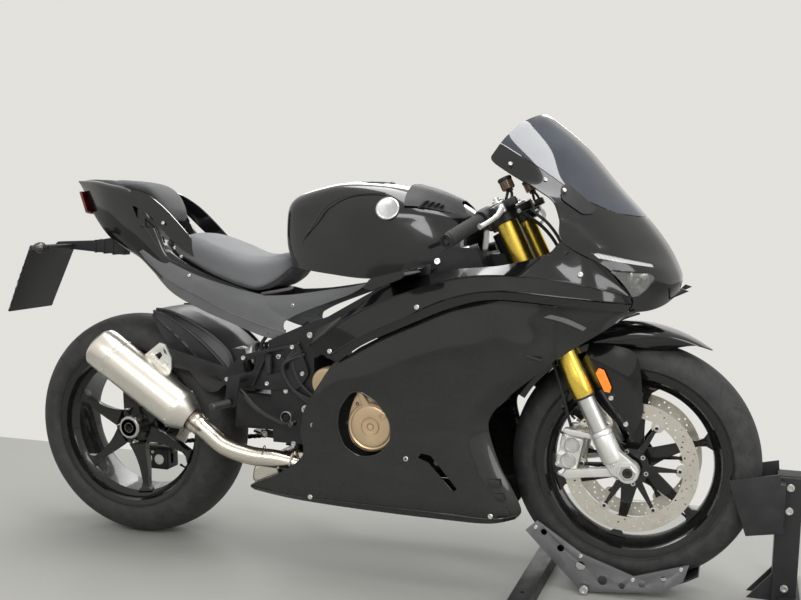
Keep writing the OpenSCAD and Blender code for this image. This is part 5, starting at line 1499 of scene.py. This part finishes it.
def on_circle(centre, radius, angle):
    """A point of a circle in the side view."""
    return centre + radius * Vector((math.cos(angle), math.sin(angle)))


def on_chain(s):
    """A place on the chain's middle line, s mm along it from the top of the rear sprocket."""
    s %= total
    if s < run:
        return on_circle(big, big_r, top_a).lerp(on_circle(little, little_r, top_a), s / run)
    s -= run
    if s < front_bend:
        return on_circle(little, little_r, top_a - s / little_r)
    s -= front_bend
    if s < run:
        return on_circle(little, little_r, low_a).lerp(on_circle(big, big_r, low_a), s / run)
    return on_circle(big, big_r, low_a - (s - run) / big_r)


CHAIN_PITCH, CHAIN_Y = 15.875, 156
count = 2 * round(total / CHAIN_PITCH / 2)
pitch = total / count
links = []
shape = rounded([(-12, -5), (-7, -7), (0, -4.6), (7, -7), (12, -5), (12, 5), (7, 7), (0, 4.6), (-7, 7), (-12, 5)], 2,
                1)
for k in range(count):
    p = on_chain((k + 0.5) * pitch)
    step = on_chain((k + 1) * pitch) - on_chain(k * pitch)
    head = math.atan2(step.y, step.x)
    y = 5.6 if k % 2 else 3.6
    link = gather(plate(shape, CHAIN_Y - y - 1.2, CHAIN_Y - y), plate(shape, CHAIN_Y + y, CHAIN_Y + y + 1.2),
                  pin(4, CHAIN_Y - 6.8, CHAIN_Y + 6.8, at(pitch / 2, 0, 0), 8))
    bmesh.ops.rotate(link, cent=at(0, 0, 0), matrix=Matrix.Rotation(-head, 3, "Y"), verts=link.verts)
    bmesh.ops.translate(link, vec=Vector((p.x, 0, p.y)) * MM, verts=link.verts)
    links.append(link)
piece("roller_chain", gather(*links), "chassis", oily_chain, instead=["drive_chain"])

# rear caliper, shock, footrests, side stand
body = brick((-48, 34, 169), (48, 96, 233), 8, 4)
body = carved(body, block((-70, 53, 185), (70, 67, 260)))
carrier = brick((-22, 93, 175), (22, 104, 266), 3, 3)
caps = gather(*[turned([(0, 33), (15, 33), (16, 34), (16, 36), (0, 36)], at(x, 0, 200), 28) for x in (-20, 20)])
piece("rear_brake_caliper", gather((body, 0), (carrier, 0), (caps, 1), (bolt((0, 34, 222), (0, -1, 0), 5, 4), 1)),
      "chassis", frame_black, bright_bolt, instead=["rear_caliper"])
shock_dir = Vector((math.sin(math.radians(84)), 0, math.cos(math.radians(84))))
eye = at(352, -60, 548)
damper = turned([(0, 14), (15, 14), (16, 18), (16, 40), (30, 42), (33, 44), (33, 50), (29, 52), (14, 52), (14, 150),
                 (30, 150), (33, 152), (33, 158), (22, 160), (18, 170), (16, 193), (0, 193)], eye, 40, shock_dir)
eyes = gather(turned([(8, -16), (20, -16), (21, -14), (21, 14), (20, 16), (8, 16), (8, -16)], eye, 32),
              bolt((352, -76, 548), (0, -1, 0), 17, 7))
coil = []
side_dir = shock_dir.cross(Vector((0, 1, 0))).normalized()
for k in range(85):
    a = math.tau * k / 12
    outward_dir = Vector((0, 1, 0)) * math.cos(a) + side_dir * math.sin(a)
    p = eye + shock_dir * (54 + 94 * k / 84) * MM + outward_dir * 26 * MM
    coil.append(tuple((p - at(0, 0, 0)) / MM))
coil = hose(coil, 4.6, 2, 8)
piece("rear_shock_unit", gather((damper, 0), (eyes, 0), (coil, 1)), "chassis", cast_silver, frame_black,
      instead=["rear_shock"])
plate_out = rounded([(330, 500), (398, 560), (560, 600), (590, 520), (560, 478), (460, 470), (342, 474)], 12)
windows = [rounded([(400, 540), (440, 556), (430, 520), (404, 510)], 6),
           rounded([(462, 566), (520, 582), (536, 530), (480, 512)], 8)]
hanger = soften(carved(plate(plate_out, 130.4, 140.2), gather(*[plate(w, 100, 180) for w in windows])), 1.4, 2)
peg_bar = rod((400, 140, 500), (400, 187, 500), 12)
guard = slab(rounded([(382, 512), (418, 512), (402, 428), (368, 428)], 8), 186, 190, 1)
knurl = [(0, 0)]
for k in range(14):
    knurl += [(10.6, 2 + 4.6 * k), (11, 3 + 4.6 * k), (11, 5 + 4.6 * k), (10, 6.2 + 4.6 * k)]
peg = turned(knurl + [(8, 68), (0, 69)], at(385, 194, 440), 20, Vector((-13, 68, 0)))
pedal = hose([(392, 150, 470), (450, 158, 420), (520, 164, 392), (560, 168, 396)], 5.4, 6, 10,
             lambda t: 1.3 - 0.4 * t)
toe = turned([(0, 0), (7, 0), (7.6, 2), (7.6, 26), (6, 28), (0, 28)], at(560, 166, 396), 16)
link = gather(rod((430, 148, 480), (470, 146, 560), 3.2), turned(ring_of(4, 8, -3, 3), at(470, 146, 560), 16),
              rod((478, 148, 566), (478, 148, 520), 9))
peg_spots = ((352, 492), (470, 488), (572, 520), (544, 588), (402, 552))
peg_bolts = gather(*[bolt((x, 140, z), (0, 1, 0), 6, 5) for x, z in peg_spots])
piece("footrest_sets", pair((hanger, 0), (peg_bar, 0), (guard, 0), (peg, 1), (pedal, 0), (toe, 1), (link, 0),
                            (peg_bolts, 2)), "chassis", frame_black, dark_bolt, bright_bolt, instead=["footrests"])
leg = rod((494, 210, 250), (265, 224, 262), 9)
boss = turned([(7.2, 196), (19, 196), (20, 198), (20, 219), (19, 220), (7.2, 220), (7.2, 196)], at(500, 0, 250), 32)
foot = brick((243, 207, 258), (287, 241, 266), 2, 3)
bmesh.ops.rotate(foot, cent=at(265, 224, 262), matrix=Matrix.Rotation(math.radians(15), 3, "Y"), verts=foot.verts)
spring = hose([(486, 224, 262), (450, 226, 262), (400, 228, 264)], 3.6, 6, 8)
piece("side_stand_leg", gather((leg, 0), (boss, 0), (foot, 0), (spring, 1)), "stand_leg", frame_black, bright_bolt,
      instead=["side_stand"])
frame_spots = ((520, 400, 16, 6), (577, 425, 12, 6), (500, 560, 7, 5), (540, 330, 7, 5), (520, 470, 7, 5),
               (590, 620, 8, 5))
main_bolts = pair(*[bolt((x, 130, z), (0, 1, 0), radius, head) for x, z, radius, head in frame_spots])
piece("frame_bolts", main_bolts, "chassis", bright_bolt)
side_loom = pair(hose([(560, 134, 600), (540, 138, 560), (560, 140, 500), (600, 136, 460)], 4, 6, 8),
                 hose([(470, 120, 620), (440, 112, 580), (470, 110, 530), (520, 118, 500)], 5, 6, 8))
piece("side_hoses", side_loom, "chassis", hose_black)
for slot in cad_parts["main_frame"].material_slots:
    slot.material = frame_black

# ---------------------------------------------------------------- wheel chock
feet = gather(brick((1150, -300, 0), (1200, 300, 40), 4, 3), brick((1750, -240, 0), (1800, 240, 40), 4, 3),
              brick((1170, -30, 0), (1780, 30, 24), 3, 3))
drills = gather(*[pin(6, -5, 60, at(x, y, 0), 20, (0, 0, 1)) for x in (1175, 1775) for y in (-215, 215)])
feet = carved(feet, drills)
post = brick((1735, -32, 0), (1791, 32, 330), 4, 3)
wings = pair(slab([(1625, 320), (1738, 345), (1752, 205), (1670, 190)], 66, 71, 1.4),
             slab([(1738, 320), (1752, 320), (1752, 230), (1742, 230)], 30, 70, 1.2))
gusset = both(slab([(1680, 24), (1738, 24), (1738, 96)], 20, 26, 1))
top_bolts = gather(*[bolt((1763, s * 32, z), (0, s, 0), 9, 6) for s in (-1, 1) for z in (306, 250)],
                   bolt((1763, -32, 60), (0, -1, 0), 9, 6))
plug = brick((1738, -29, 328), (1788, 29, 333), 2)
piece("chock_stand", gather((feet, 0), (post, 0), (wings, 0), (gusset, 0), (top_bolts, 1), (plug, 2)), "front_fork",
      chock_black, bright_bolt, soft_black, instead=["chock_base"])
cheek = plate([(1150, 147), (1180, 175), (1292, 103), (1420, 60), (1548, 105), (1536, 62), (1490, 28), (1330, 8),
               (1290, 8)], 70, 75)
cheek_holes = ((1197, 147, 8), (1240, 110, 9), (1290, 70, 12), (1345, 40, 12), (1392, 32, 8), (1440, 44, 9),
               (1490, 62, 7))
holes = gather(*[pin(r, 60, 85, at(x, 0, z), 28) for x, z, r in cheek_holes])
cheek = soften(carved(cheek, holes), 1, 2)
strips = []
for a0, a1 in ((218, 236), (290, 304)):
    angles = [math.radians(a0 + (a1 - a0) * k / 8) for k in range(9)]
    outline = [(1400 + r * math.cos(a), 330 + r * math.sin(a)) for r, arc in ((300.4, angles), (305.4, angles[::-1]))
               for a in arc]
    strips.append(slab(outline, -70, 70, 1))
pivot_pin = pair(rod((1302, 60, 14), (1302, 84, 14), 7), bolt((1302, 84, 14), (0, 1, 0), 11, 7))
cheek_bolts = pair(*[bolt((x, 75, z), (0, 1, 0), 5, 4) for x, z in ((1176, 158), (1290, 96), (1418, 52), (1530, 92))])
piece("chock_rocker", gather((both(cheek), 0), (gather(*strips), 1), (pivot_pin, 2), (cheek_bolts, 2)), "front_fork",
      chock_grey, chock_black, bright_bolt, instead=["chock_cradle"])


# ---------------------------------------------------------------- parts behind the bodywork
collector = slab(rounded([(404, 212), (430, 196), (600, 196), (640, 230), (640, 292), (560, 312), (470, 290),
                          (410, 258)], 24), -118, 40, 22, 5)
seams = gather(*[turned([(0, 0), (30, 0), (33, 0), (33, 5), (30, 5)], at(500 + 34 * k, -112, 272 + 7 * k), 32,
                        (1, -0.1, -0.12)) for k in range(2)])
sensor = gather(rod((520, -60, 300), (512, -66, 326), 9), rod((512, -66, 326), (508, -68, 342), 6))
piece("exhaust_collector", gather((collector, 0), (seams, 0), (sensor, 1)), "chassis", pipe_steel, dark_bolt)
rocker = slab(rounded([(470, 300), (520, 350), (590, 340), (600, 312), (540, 300)], 10), -46, -22, 3)
tie = both(slab(rounded([(400, 316), (520, 308), (524, 324), (404, 338)], 8), 30, 36, 1.5))
piece("shock_linkage", gather((rocker, 0), (tie, 0),
                              (pair(bolt((410, 36, 327), (0, 1, 0), 9, 6), bolt((512, 36, 316), (0, 1, 0), 9, 6)),
                               1)), "chassis", frame_black, bright_bolt)
tube_a, tube_b = (905, 118, 812), (1004, 99.6, 840)
sleeve = pair(rod(tube_a, tube_b, 15.6), brick((896, 106, 800), (918, 134, 826), 4, 3))
piece("upper_frame_tubes", gather((sleeve, 0), (both(bolt((930, 130, 816), (0, 1, 0.2), 8, 6)), 1)), "chassis",
      cast_silver, bright_bolt)
pump_hoses = gather(*[hose([(560 + 8 * k, -134, 590 - 10 * k), (520, -142 - 3 * k, 540), (540, -140, 480),
                        (600, -132, 430 + 9 * k)], 4.4, 6, 8) for k in range(3)])
pump = gather(brick((470, -134, 512), (520, -100, 560), 5, 3), rod((495, -110, 560), (495, -110, 600), 12),
              rod((478, -116, 470), (478, -116, 515), 8))
piece("rear_brake_pump", gather((pump, 0), (pump_hoses, 1), (rod((495, -110, 600), (495, -110, 626), 15), 2)),
      "chassis", frame_black, hose_black, fluid_pot)
corner_rows = [
    [(1236, 200, 728), (1290, 196, 726), (1340, 182, 722), (1392, 158, 715), (1414, 150, 713)],
    [(1236, 199, 672), (1284, 194, 690), (1336, 181, 698), (1386, 162, 706), (1415, 152, 712.6)],
    [(1238, 197, 600), (1278, 193, 630), (1332, 182, 665), (1379, 168, 697), (1416, 154, 712)]]
corner = thick(skin(corner_rows, 20, 36), 3, at(1250, 0, 700))
blade = thick(skin([[(1206, 202.5, 699), (1252, 202, 689), (1296, 196, 671)],
                    [(1222, 202.5, 706), (1262, 202, 697), (1304, 195, 678)]], 6, 24), 3.5, at(1250, 0, 700))
slots = gather(rod((1120, 198.5, 619), (1158, 198.5, 610), 3.2), rod((1167, 198.5, 607), (1204, 198, 598), 3.2))
piece("fairing_corners", gather((both(corner), 0), (both(blade), 1), (both(slots), 2)), "chassis", satin_black,
      panel_grey, soft_black, keen=50)
